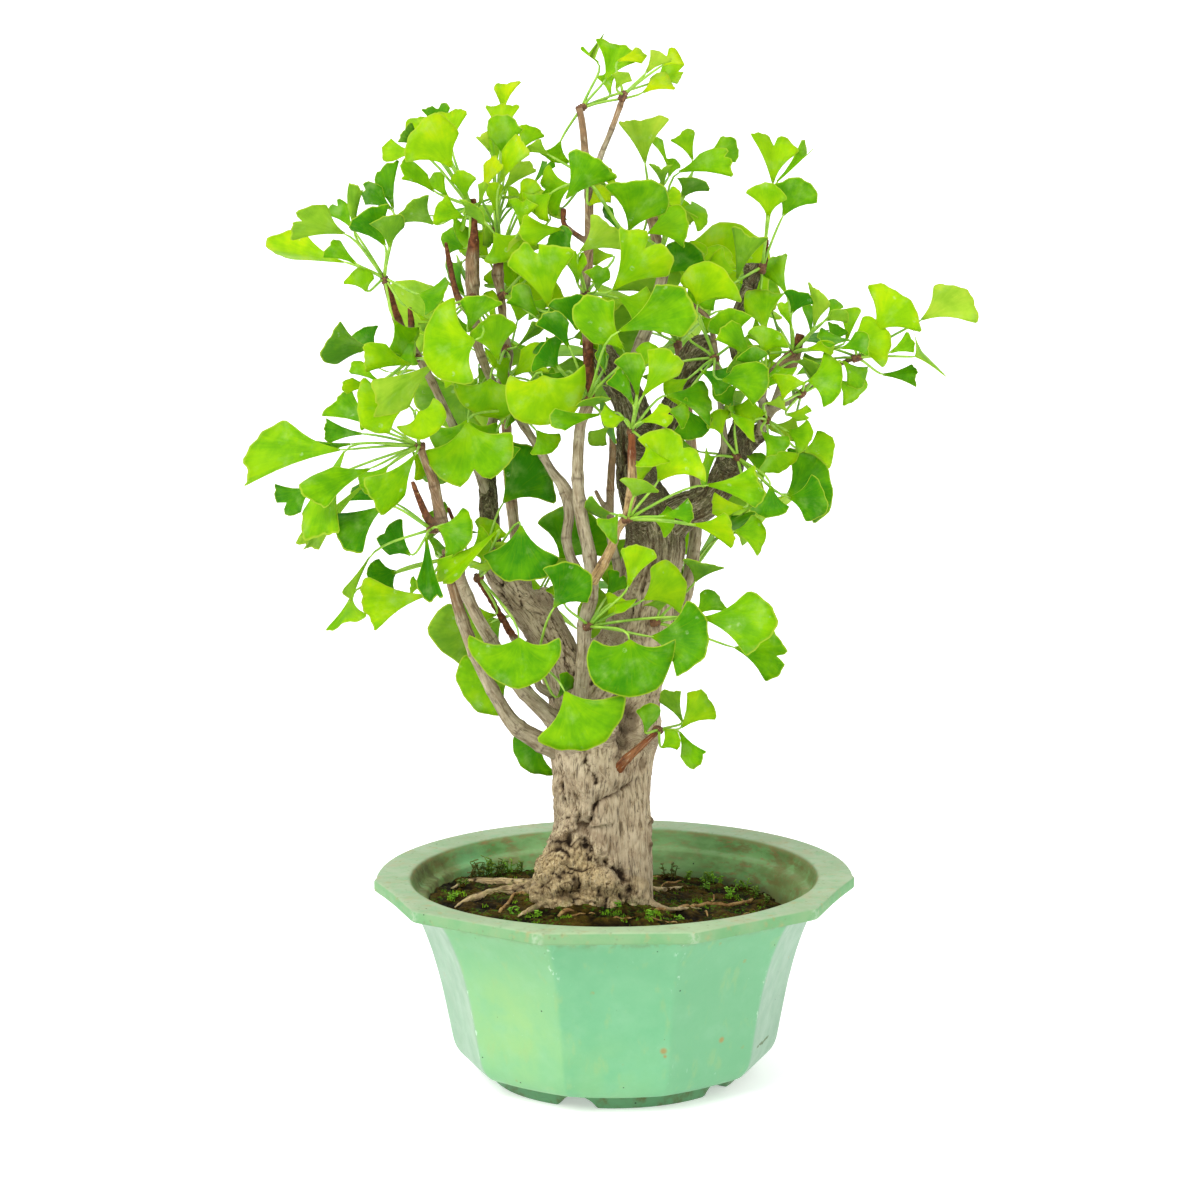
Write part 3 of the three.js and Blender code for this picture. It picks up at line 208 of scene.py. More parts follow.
SPECKS, given, result = new_group(
    "pin specks", {"Vector": ("v", None), "Scale": ("f", 200), "Size": ("f", 0.2),
                   "Share": ("f", 0.3)}, ["Mask"])
cells = add(SPECKS, "TexVoronoi", {"Vector": given["Vector"], "Scale": given["Scale"]})
chance = add(SPECKS, "SeparateColor", {"Color": cells.outputs["Color"]}).outputs[0]
picked = sums(SPECKS, "LESS_THAN", chance, given["Share"])
edge = sums(SPECKS, "MULTIPLY", given["Size"], 0.6)
dot = spread(SPECKS, cells.outputs["Distance"], given["Size"], edge)
put(SPECKS, sums(SPECKS, "MULTIPLY", dot, picked), result["Mask"])

FIBRES, given, result = new_group(
    "fibres", {"Vector": ("v", None), "Fineness": ("f", 400), "Wander": ("f", 0.5)}, ["Height"])
strands = add(FIBRES, "TexNoise", {"Vector": given["Vector"], "Scale": given["Fineness"],
                                   "Detail": 6.0, "Roughness": 0.65,
                                   "Distortion": given["Wander"]})
put(FIBRES, strands.outputs["Fac"], result["Height"])
print("shared groups:", [group.name for group in (MOTTLE, SPECKS, FIBRES)])


# %% The shared effects, sized in millimetres
def mottle(tree, at, size, low=0.4, high=0.6):
    """Cloudy patches about `size` millimetres across."""
    return place_group(tree, MOTTLE, {"Vector": at, "Scale": 1000 / size, "Low": low,
                                      "High": high})["Mask"]


def two_tone(tree, at, size, first, second, low=0.35, high=0.65):
    """Two tones in cloudy patches, the second one inside them."""
    return mix(tree, mottle(tree, at, size, low, high), first, second)


def specks(tree, at, spacing, size, share):
    """Dots `spacing` millimetres apart, of which only a share is picked."""
    return place_group(tree, SPECKS, {"Vector": at, "Scale": 1000 / spacing, "Size": size,
                                      "Share": share})["Mask"]


def fibres(tree, at, fineness, wander):
    """Fine lines, drawn out where the coordinates are."""
    return place_group(tree, FIBRES, {"Vector": at, "Fineness": fineness,
                                      "Wander": wander})["Height"]

# %% [markdown]
# ## Studio
# A plain pale floor runs past the horizon, and the sky is a plain white dome. A large soft light
# from the upper left in front gives the leaves and the bark their shape, and a weaker one on the
# right opens the shadows. A third grazes the left side, and a fourth behind lights the edges of
# the leaves. The floor glows a little, so it shows almost white without a brighter light.

# %% Studio
scene = bpy.context.scene
scene.view_settings.view_transform = "Standard"

world = bpy.data.worlds.new("white dome")
world.use_nodes = True
dome = world.node_tree.nodes["Background"]
dome.inputs["Color"].default_value = (1, 1, 1, 1)
dome.inputs["Strength"].default_value = 0.8
scene.world = world

floor_shape = bmesh.new()
bmesh.ops.create_grid(floor_shape, x_segments=1, y_segments=1, size=900)
floor_mesh = bpy.data.meshes.new("floor")
floor_shape.to_mesh(floor_mesh)
floor_shape.free()
floor = bpy.data.objects.new("floor", floor_mesh)
scene.collection.objects.link(floor)

floor_paint, tree, shader = new_material("floor")
finish(tree, shader, {"Base Color": (0.9, 0.9, 0.9, 1), "Roughness": 0.9,
                      "Emission Color": (1, 1, 1, 1), "Emission Strength": 0.4,
                      "Specular IOR Level": 0.0})
floor_mesh.materials.append(floor_paint)

# [name, the way it shines, strength, softness in degrees]
for name, heading, strength, softness in [
    ("light upper left", (0.60, 0.72, -0.95), 1.9, 34),
    ("light right", (-0.9, 0.45, -0.5), 0.7, 50),
    ("light left side", (1.0, 0.15, -0.35), 0.4, 50),
    ("light behind", (0.15, -0.9, -0.9), 0.5, 50),
]:
    lamp = bpy.data.lights.new(name, "SUN")
    lamp.energy = strength
    lamp.angle = math.radians(softness)
    holder = bpy.data.objects.new(name, lamp)
    holder.rotation_euler = Vector(heading).to_track_quat("-Z", "Y").to_euler()
    scene.collection.objects.link(holder)

# %% [markdown]
# ## Tools for uneven, grown shapes
# Bark, soil and glaze are all uneven. One soft noise, read at several sizes, shapes them: it
# gives a value between about -1 and 1 that changes smoothly from place to place and is the same
# each run. `curve_through` draws a smooth curve through measured points, and `show` makes a
# finished mesh a piece that rides on the frame's body.

# %% Tools for uneven, grown shapes
RANDOM = np.random.default_rng(7)
SHUFFLED = RANDOM.permutation(256)
SLOPES = RANDOM.normal(size=(256, 3))
SLOPES /= np.linalg.norm(SLOPES, axis=1)[:, None]


def soft_noise(points, size):
    """A smooth value for each row of points, with features about `size` long."""
    place = np.asarray(points, float) / size
    cell = np.floor(place).astype(int)
    inside = place - cell
    fade = inside**3 * (inside * (inside * 6 - 15) + 10)
    value = np.zeros(len(place))
    for corner in np.ndindex(2, 2, 2):
        x, y, z = (cell + corner).T
        slope = SLOPES[SHUFFLED[(SHUFFLED[(SHUFFLED[x % 256] + y) % 256] + z) % 256]]
        weight = np.prod(np.where(corner, fade, 1 - fade), axis=1)
        value += weight * np.einsum("ij,ij->i", slope, inside - np.array(corner))
    return 1.6 * value


def smooth_step(value, low, high):
    """0 below low, 1 above high, and an easy slope between them."""
    share = np.clip((value - low) / (high - low), 0, 1)
    return share * share * (3 - 2 * share)


def curve_through(rows, pieces):
    """A smooth curve through rows of numbers, with `pieces` steps from each row to the next."""
    rows = np.array(rows, float)
    ends = np.vstack([2 * rows[0] - rows[1], rows, 2 * rows[-1] - rows[-2]])
    made = []
    for i in range(len(rows) - 1):
        a, b, c, d = ends[i : i + 4]
        for t in np.arange(pieces) / pieces:
            made.append(0.5 * (2 * b + (c - a) * t + (2 * a - 5 * b + 4 * c - d) * t**2
                               + (3 * b - a - 3 * c + d) * t**3))
    return np.array([*made, rows[-1]])


def mesh_of(shape, name):
    """A mesh from a bmesh shape, its doubles merged and its faces turned outwards."""
    bmesh.ops.remove_doubles(shape, verts=shape.verts, dist=1e-6)
    bmesh.ops.recalc_face_normals(shape, faces=shape.faces)
    mesh = bpy.data.meshes.new(name)
    shape.to_mesh(mesh)
    shape.free()
    return mesh


def places(mesh):
    """Every point of a mesh, in millimetres."""
    flat = np.empty(3 * len(mesh.vertices))
    mesh.vertices.foreach_get("co", flat)
    return flat.reshape(-1, 3) / MM


def set_places(mesh, points):
    """Moves the points of a mesh to these millimetre places."""
    mesh.vertices.foreach_set("co", (np.asarray(points) * MM).ravel())
    mesh.update()


def outward(mesh):
    """The direction in which the surface looks at every point of a mesh."""
    flat = np.empty(3 * len(mesh.vertices))
    mesh.vertex_normals.foreach_get("vector", flat)
    return flat.reshape(-1, 3)


def keep(mesh, name, values):
    """Keeps a number, or a place, for every point of a mesh, for its material to read."""
    values = np.asarray(values, np.float32)
    kind, field = ("FLOAT", "value") if values.ndim == 1 else ("FLOAT_VECTOR", "vector")
    mesh.attributes.new(name, kind, "POINT").data.foreach_set(field, values.ravel())


def show(mesh, slot, materials, *replaced):
    """Shows a finished mesh as a piece that takes the place of the named frame pieces."""
    for material in materials:
        mesh.materials.append(material)
    mesh.shade_smooth()
    piece = bpy.data.objects.new(mesh.name, mesh)
    scene.collection.objects.link(piece)
    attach(piece, "root")
    if replaced:
        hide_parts(*replaced)
    print(f"{mesh.name}: {len(mesh.polygons)} faces")


# %% [markdown]
# ## Pot
# The pot is one moulded shell: a ten-sided bowl that flares to a broad flat rim, a round opening
# with a shallow step inside the wall, and a round foot ring with five arched notches. A turned
# shape is spun from its outline. The spin gives a round pot, so each ring is then drawn in to ten
# sides, which keeps the corners softly rounded. Behind the middle the rim isn't sided but a half
# oval. The foot is lifted into arches: a boolean would cut the notches too, but it leaves rough
# faces where they meet the curved foot.

# %% Pot outline
RIM_RADIUS, OPENING_RADIUS, WALL_TOP_RADIUS = 167.5, 141, 151.5
# [radius, height, how ten-sided: 0 round, 1 flat-sided], as one closed loop
FOOT_OUTLINE = [
    [9, 8, 0], [24, 8, 0], [42, 8, 0], [58, 8, 0], [72, 8, 0], [73.6, 7.4, 0], [73.8, 5, 0],
    [73.4, 1.2, 0], [74.4, 0, 0], [80, 0, 0], [85.2, 0, 0], [86.5, 1, 0], [87, 4.6, 0],
    [87.4, 8.2, 0],
]
BOWL_OUTLINE = curve_through([
    [88.6, 9.4, 0.05], [97, 10.6, 0.3], [105, 13.6, 0.75], [110.6, 19.5, 1], [113.5, 26, 1],
    [115.5, 36, 1], [118.5, 52, 1], [121.5, 67, 1], [125, 81, 1], [128.5, 93, 1],
    [134.5, 109, 1], [141, 122, 1], [146.5, 130, 1], [151.5, 133, 1],
], 3).tolist()
RIM_OUTLINE = [
    [158, 133.5, 1], [165.4, 133.8, 1], [167.1, 134.4, 1], [167.5, 135.6, 1], [167.5, 138.4, 1],
    [167.5, 141.2, 1], [167, 142, 1], [166, 142.3, 1], [160, 142.3, 0.85],
    [154, 142.3, 0.6], [148, 142.3, 0.3], [144, 142.3, 0.1], [142.2, 142, 0], [141, 141, 0],
    [140, 138.6, 0], [138.2, 134.2, 0], [137, 131.6, 0], [135.8, 130.5, 0], [132, 129.6, 0],
]
WALL_INSIDE = curve_through([
    [130.4, 128.4, 0], [124.5, 113, 0], [117, 93, 0], [113.6, 80, 0], [110.5, 67, 0],
    [107, 46, 0], [104, 28, 0], [98, 20.4, 0], [84, 20, 0], [50, 20, 0], [9, 20, 0],
], 3).tolist()
POT_OUTLINE = np.array(FOOT_OUTLINE + BOWL_OUTLINE + RIM_OUTLINE + WALL_INSIDE)

shape = bmesh.new()
outline = [shape.verts.new((radius * MM, 0, height * MM)) for radius, height, _ in POT_OUTLINE]
edges = [shape.edges.new((a, b)) for a, b in zip(outline, outline[1:] + outline[:1])]
bmesh.ops.spin(shape, geom=outline + edges, axis=(0, 0, 1), cent=(0, 0, 0),
               angle=2 * math.pi, steps=400, use_merge=True)
pot_mesh = mesh_of(shape, "pot_shell")
print("pot outline points:", len(POT_OUTLINE))

# %% Draw the rings in to ten sides
turned = places(pot_mesh)
radius, height = np.hypot(turned[:, 0], turned[:, 1]), turned[:, 2]
angle = np.arctan2(turned[:, 1], turned[:, 0])
from_outline = np.hypot(radius[:, None] - POT_OUTLINE[:, 0], height[:, None] - POT_OUTLINE[:, 1])
row = from_outline.argmin(axis=1)
flatness = POT_OUTLINE[row, 2]

SIDES = 10
SECTOR = 2 * math.pi / SIDES
SOFT_CORNER, SOFTNESS = 0.9965, 0.0016
TURN_BACK, TURNED_WIDTH = np.radians(3), 0.33
turn_back = TURN_BACK * (np.exp(-((angle / TURNED_WIDTH) ** 2))
                         - np.exp(-(((np.abs(angle) - math.pi) / TURNED_WIDTH) ** 2)))
sided = angle + turn_back
from_middle = np.abs(sided / SECTOR - np.floor(sided / SECTOR) - 0.5) * SECTOR
side = math.cos(SECTOR / 2) / np.cos(from_middle)
soft_corner = SOFT_CORNER - SOFTNESS * np.log1p(np.exp((SOFT_CORNER - side) / SOFTNESS))
drawn_in = 1 - flatness * (1 - soft_corner)
print("sides drawn in by", round(float(RIM_RADIUS * (1 - drawn_in.min())), 2), "mm")

# %% The back of the rim is a half oval
RIM_BACK_ACROSS, RIM_BACK_DEEP = 165.3, 170
is_rim = (row >= len(FOOT_OUTLINE) + len(BOWL_OUTLINE)) & (height > 133)
oval = 1 / np.hypot(np.cos(angle) / RIM_BACK_ACROSS, np.sin(angle) / RIM_BACK_DEEP) / RIM_RADIUS
from_edge = np.where(height > 138, (radius - OPENING_RADIUS) / (RIM_RADIUS - OPENING_RADIUS),
                     (radius - WALL_TOP_RADIUS) / 13)
at_back = is_rim * np.clip(from_edge, 0, 1) * smooth_step(np.sin(angle), -0.06, -0.03)
drawn_in = drawn_in + at_back * (oval - drawn_in)

# %% Lift the foot into arches
NOTCHES, ARCH_RADIUS, ARCH_DROP = 5, 16, 8
FIRST_NOTCH = math.radians(-108)
lifted = height.copy()
for index in range(NOTCHES):
    heading = FIRST_NOTCH + index * 2 * math.pi / NOTCHES
    turn = (angle - heading + math.pi) % (2 * math.pi) - math.pi
    across = np.where(np.abs(turn) < 0.4, radius * np.sin(turn), 99)
    arch = np.sqrt(np.clip(ARCH_RADIUS**2 - across**2, 0, None)) - ARCH_DROP
    arch = np.clip(arch, 0, 7)
    foot = (radius > 72.5) & (radius < 88) & (height < 9)
    ceiling = np.where(radius < 74, 8, 9)
    lifted = np.where(foot & (arch > 0), arch + height * (ceiling - arch) / ceiling, lifted)

moulded = np.stack([turned[:, 0] * drawn_in, turned[:, 1] * drawn_in, lifted], 1)
uneven = 0.3 * soft_noise(turned, 70) + 0.06 * soft_noise(turned, 16)
worn = -0.5 * smooth_step(soft_noise(turned, 5) - 0.8 * (side > 0.985), 0.55, 0.8)
worn = worn * (is_rim & (radius > 164))
points_out = np.stack([np.cos(angle), np.sin(angle), np.zeros(len(angle))], 1)
moulded += points_out * (uneven * (height > 9) + worn)[:, None]
set_places(pot_mesh, moulded)

# %% [markdown]
# The finish of the pot is a mint green that has weathered for years: yellow-green blotches on the
# front left, a grey rim with brown soil stains, darker lines on the step and above the foot, chalky
# scratches on the corners, a few dark pits, a few tan chips and one mossy crack. Light is painted
# into it too: a dark line under the rim is painted shadow with some stain, the front of the rim's
# top is painted lighter, the paler grey bloom towards the far sides is painted reflection, and
# inside, the back is painted lighter, the sides darker and the step gets a painted highlight. Where
# something depends on the shape, such as a corner or the rim, each point of the mesh keeps a number
# for it, and the material breaks that number up with noise. The facets differ a little too, as
# painted light and shade: the left one is lighter and the right one darker, and x divided by y
# tells which one a place is on.

# %% Pot wear, painted shadow and a painted highlight that follow the shape
inside_wall = ((row >= len(POT_OUTLINE) - len(WALL_INSIDE) - 6) & (radius > 8)) * 1.0
# A dark band under the rim: painted shadow, with some stain.
under_rim_shadow = np.exp(-(((height - 129.5) / 3.2) ** 2)) * (radius > 139)
above_foot = np.exp(-(((height - 9.5) / 1.6) ** 2)) * (radius > 80)
step_line = np.exp(-(((height - 126) / 3) ** 2)) * inside_wall
# A pale band on the step inside the wall: a painted highlight.
ledge_highlight = np.exp(-(((height - 130.4) / 1.1) ** 2)) * inside_wall
keep(pot_mesh, "corner", smooth_step(side, 0.989, 0.9985) * flatness * (height < 142))
keep(pot_mesh, "upper", smooth_step(height, 141.2, 142.2) * (1 - inside_wall))
keep(pot_mesh, "rim", smooth_step(height, 132.8, 134) * (1 - inside_wall))
keep(pot_mesh, "ledge_highlight", ledge_highlight)
keep(pot_mesh, "inside", inside_wall)
lip = np.exp(-(((radius - OPENING_RADIUS - 0.3) / 0.9) ** 2)) * (height > 139)
keep(pot_mesh, "lip", lip)
keep(pot_mesh, "rim_shadow_and_lines", np.clip(0.8 * under_rim_shadow + above_foot + 0.9 * step_line, 0, 1))
keep(pot_mesh, "foot", smooth_step(height, 9.4, 8.6))

# %% Pot glaze
glaze, tree, shader = new_material("weathered_mint")
at = add(tree, "TexCoord").outputs["Object"]
place_x, place_y, place_z = add(tree, "SeparateXYZ", {"Vector": at}).outputs
slant = sums(tree, "DIVIDE", place_x, place_y)
# The left facet is painted lighter and the right facet darker: painted light and shade from the lamp
# on the upper left.
lit_left_facet = spread(tree, slant, 0.305, 0.34)
shaded_right_facet = spread(tree, slant, -0.305, -0.34)
# The far sides are painted paler and greyer: a painted reflection of the white studio.
far_sides_reflection = spread(tree, sums(tree, "ABSOLUTE", slant), 1.33, 1.42)

skin = coats(
    tree, two_tone(tree, at, 60, "#66a779", "#6fae80", 0.3, 0.7),
    ["#80b689", mottle(tree, at, 12, 0.35, 0.75), 0.25],
    # Painted light on the left facet, then painted shade on the right facet.
    ["#80b37b", lit_left_facet, mottle(tree, at, 45, 0.0, 0.5), 0.6],
    ["#6aa478", shaded_right_facet, 0.6],
    ["#93b86c", near(tree, at, (-72, -92, 58), 66, 0.1), mottle(tree, at, 30, 0.3, 0.65), 0.55],
    ["#84b274", near(tree, at, (-10, -105, 18), 60, 0.1), mottle(tree, at, 26, 0.3, 0.6), 0.35],
    ["#8fae70", mottle(tree, stretched(tree, at, (1, 1, 0.35)), 9, 0.56, 0.7), 0.35],
    # Painted reflection on the far sides.
    ["#8aa38f", far_sides_reflection, 0.75],
    ["#8ebd97", mottle(tree, at, 22, 0.45, 0.8), 0.25],
    ["#bfdac3", own(tree, "corner"), mottle(tree, stretched(tree, at, (1, 1, 0.3)), 3.2, 0.58, 0.66),
     mottle(tree, at, 31, 0.45, 0.6), 0.8],
    ["#b5d2b8", mottle(tree, stretched(tree, at, (1, 1, 0.16)), 2.2, 0.68, 0.74),
     mottle(tree, at, 27, 0.5, 0.6), 0.6],
)

# %% Pot rim
rim_top = coats(
    tree, two_tone(tree, at, 30, "#92a883", "#9db08f"),
    ["#7fab7f", mottle(tree, at, 13, 0.45, 0.7), 0.7],
    ["#a8a07c", mottle(tree, at, 19, 0.5, 0.7), 0.5],
    ["#a9b595", mottle(tree, at, 3, 0.5, 0.7), 0.25],
    # The front of the rim's top is painted lighter: painted light.
    ["#a9c296", near(tree, at, (0, -158, 142), 110, 0.4), mottle(tree, at, 14, 0.3, 0.6), 0.65],
)
rim_tone = coats(
    tree, two_tone(tree, at, 24, "#6a9e6a", "#7ba272"),
    [rim_top, own(tree, "upper")],
    ["#a0925e", mottle(tree, at, 8, 0.56, 0.72), 0.5],
    ["#6f7f58", specks(tree, at, 4, 0.3, 0.3), 0.4],
)

# %% Pot wall inside
# Places where the inner wall is painted darker: painted shade.
SHADED_SIDES = [(-122, 30, 128), (124, 30, 128)]
wall_tone = coats(
    tree, two_tone(tree, stretched(tree, at, (1, 1, 2.6)), 26, "#5c8a48", "#78a866"),
    ["#77693a", mottle(tree, stretched(tree, at, (1, 1, 3)), 16, 0.48, 0.66), 0.75],
    ["#9a6f48", mottle(tree, stretched(tree, at, (1, 1, 4)), 9, 0.54, 0.7), 0.65],
    ["#3f4020", spread(tree, place_z, 0.121, 0.112), 0.75],
    # The pale band on the step is a painted highlight.
    ["#94b083", own(tree, "ledge_highlight"), mottle(tree, at, 9, 0.35, 0.6), 0.5],
    # The back of the inner wall is painted lighter: painted light.
    ["#93bb80", near(tree, at, (0, 138, 128), 95, 0.4), 0.4],
    # The sides of the inner wall are painted darker and browner: painted shade.
    *(["#66682f", near(tree, at, place, 62, 0.4), mottle(tree, at, 15, 0.25, 0.55), 0.65]
      for place in SHADED_SIDES),
    # The left of the inner wall is painted darkest: painted shade.
    ["#4d5426", near(tree, at, (-122, 34, 130), 42, 0.5), mottle(tree, at, 10, 0.42, 0.6), 0.8],
    # A small mint patch at the back left of the inner wall: painted light.
    ["#74b57c", near(tree, at, (-98, 84, 128), 26, 0.3), 0.6],
)

# %% Stains, painted shadow, chips and the mossy crack
# [place, size] of each chip, and the place and height of the crack
CHIPS = [((32, -112.5, 48), 3.4), ((72, -86.8, 48), 3.2), ((33, -112, 44), 2)]
CRACK_PLACE, CRACK_HEIGHT = (103, -42, 33), 31.8
wander = sums(tree, "MULTIPLY", mottle(tree, at, 7, 0.2, 0.8), 0.003)
crack_line = sums(tree, "ADD", wander, CRACK_HEIGHT * MM)
crack_gap = sums(tree, "ABSOLUTE", sums(tree, "SUBTRACT", crack_line, place_z))
skin = coats(
    tree, skin,
    [rim_tone, own(tree, "rim")],
    ["#b9c8b0", own(tree, "corner"), own(tree, "rim"), mottle(tree, at, 4, 0.4, 0.6), 0.45],
    [wall_tone, own(tree, "inside")],
    ["#8f8355", own(tree, "lip"), mottle(tree, at, 9, 0.3, 0.6), 0.75],
    # Painted shadow under the rim, and darker lines on the step and above the foot.
    ["#6d6a38", own(tree, "rim_shadow_and_lines"), mottle(tree, at, 7, 0.35, 0.7), 0.85],
    [two_tone(tree, at, 9, "#588c60", "#56633a", 0.45, 0.7), own(tree, "foot")],
    ["#8d8f55", specks(tree, at, 17, 0.13, 0.3), mottle(tree, at, 2, 0.4, 0.6), 0.6],
    ["#5d7a4c", specks(tree, at, 8, 0.07, 0.3), 0.8],
    ["#20271a", specks(tree, at, 13, 0.06, 0.5), 0.9],
    *(["#9a7f46", near(tree, at, chip, size, 0.3), 0.85] for chip, size in CHIPS),
    ["#3f5a18", near(tree, at, CRACK_PLACE, 17, 0.7), spread(tree, crack_gap, 0.0013, 0.0006),
     mottle(tree, at, 3, 0.25, 0.4)],
)
matt = sums(tree, "ADD", 0.36, times(tree, mottle(tree, at, 18, 0.3, 0.7), 0.2))
for kept, duller in [("rim", 0.25), ("inside", 0.3)]:
    matt = sums(tree, "ADD", matt, times(tree, own(tree, kept), duller), clamp=True)
orange_peel = add(tree, "TexNoise", {"Vector": at, "Scale": 420.0, "Detail": 3.0}).outputs["Fac"]
dents = sums(tree, "SUBTRACT", orange_peel, times(tree, specks(tree, at, 13, 0.1, 0.2), 0.8))
finish(tree, shader, {"Base Color": skin, "Roughness": matt, "Specular IOR Level": 0.35},
       (dents, 0.25, 0.0006))
show(pot_mesh, "pot_shell", [glaze], "pot")

# %% [markdown]
# ## Soil
# Dark, crumbly compost fills the pot, higher on the left and heaped up at the trunk. It is spun
# as one closed body that follows the inside of the wall, and its top has many narrow rings, so
# soft noise at three sizes can push it into clods, crumbs and grains. A flat disc with a bump
# map would look painted on, because the soil is seen almost edge-on.

# %% Soil body
def soil_height(x, y):
    """The height of the soil at a place in plan, in millimetres."""
    from_trunk = np.hypot(x + 14, y + 6)
    return 115 - 0.055 * x + 0.0003 * x * x + 17 * np.exp(-((from_trunk / 62) ** 2))


SOIL_RINGS = 70
below = [[0, 20.4], [60, 20.4], [97.4, 20.8], [103.4, 28.4], [106.4, 46], [109.9, 67],
         [113, 80], [116.4, 93], [121, 106]]
rings = [[126.4 * share, 118] for share in np.linspace(1, 0, SOIL_RINGS)]
shape = bmesh.new()
outline = [shape.verts.new((r * MM, 0, z * MM)) for r, z in below + rings]
edges = [shape.edges.new(pair) for pair in zip(outline, outline[1:])]
bmesh.ops.spin(shape, geom=outline + edges, axis=(0, 0, 1), cent=(0, 0, 0),
               angle=2 * math.pi, steps=300, use_merge=True)
soil_mesh = mesh_of(shape, "soil_body")

ground = places(soil_mesh)
from_centre = np.hypot(ground[:, 0], ground[:, 1])
is_top = ground[:, 2] > 110
at_edge = smooth_step(from_centre, 112, 126)
clods = 2.2 * soft_noise(ground, 17) + 2.4 * np.abs(soft_noise(ground, 8)) - 0.8
crumbs = 1.5 * np.abs(soft_noise(ground + 40, 4.2)) + 0.5 * soft_noise(ground, 2.4)
ragged = at_edge * (1.6 * soft_noise(ground, 12) - 1.2)
level = soil_height(ground[:, 0], ground[:, 1])
ground[:, 2] = np.where(is_top, level + clods + crumbs + ragged, ground[:, 2])
wall = np.interp(ground[:, 2], [106, 113, 120, 129], [121.4, 123.8, 126.4, 129.8])
pull = np.where(is_top, wall / 126.4, 1)
ground[:, :2] *= pull[:, None]
set_places(soil_mesh, ground)
# The low places between the clods are kept for the colour, which paints them almost black: painted
# shade.
keep(soil_mesh, "low", np.where(is_top, smooth_step(clods + crumbs, 1.4, -0.6), 1))

# %% Soil material
earth, tree, shader = new_material("damp_compost")
at = add(tree, "TexCoord").outputs["Object"]
tone = coats(
    tree, two_tone(tree, at, 9, "#362a0a", "#4a3b10"),
    ["#5d4a20", mottle(tree, at, 3, 0.5, 0.7), 0.7],
    # Painted shade in the low places between the clods.
    ["#140e05", own(tree, "low")],
    ["#3f6a12", mottle(tree, at, 22, 0.45, 0.62), mottle(tree, at, 2.4, 0.5, 0.62), 0.85],
    ["#8a6d3c", specks(tree, at, 3.4, 0.16, 0.1), 0.8],
    ["#5d8a1c", specks(tree, at, 5, 0.14, 0.1), 0.9],
)
crumb = add(tree, "TexVoronoi", {"Vector": at, "Scale": 420.0}).outputs["Distance"]
grit = add(tree, "TexNoise", {"Vector": at, "Scale": 900.0, "Detail": 4.0}).outputs["Fac"]
damp = spread(tree, mottle(tree, at, 6), 0, 1, 0.75, 0.95)
finish(tree, shader, {"Base Color": tone, "Roughness": damp, "Specular IOR Level": 0.05},
       (sums(tree, "SUBTRACT", grit, crumb), 0.8, 0.0012))
show(soil_mesh, "soil", [earth], "soil")

# %% [markdown]
# ## Trunk, limbs and shoots
# The wood grew as tapering stems that flow into each other. Each stem is a list of stations on
# the front elevation: across, height, depth behind the middle, and radius. A place drawn on the
# elevation lies on the line of sight from the camera, so depth moves it along that line. A ring
# is extruded from station to station, the overlapping stems of one piece are fused by a voxel
# remesh, and a few rounds of smoothing melt the forks together, as growing wood does.

# %% Where the wood runs
EYE_MM = np.array(EYE) / MM
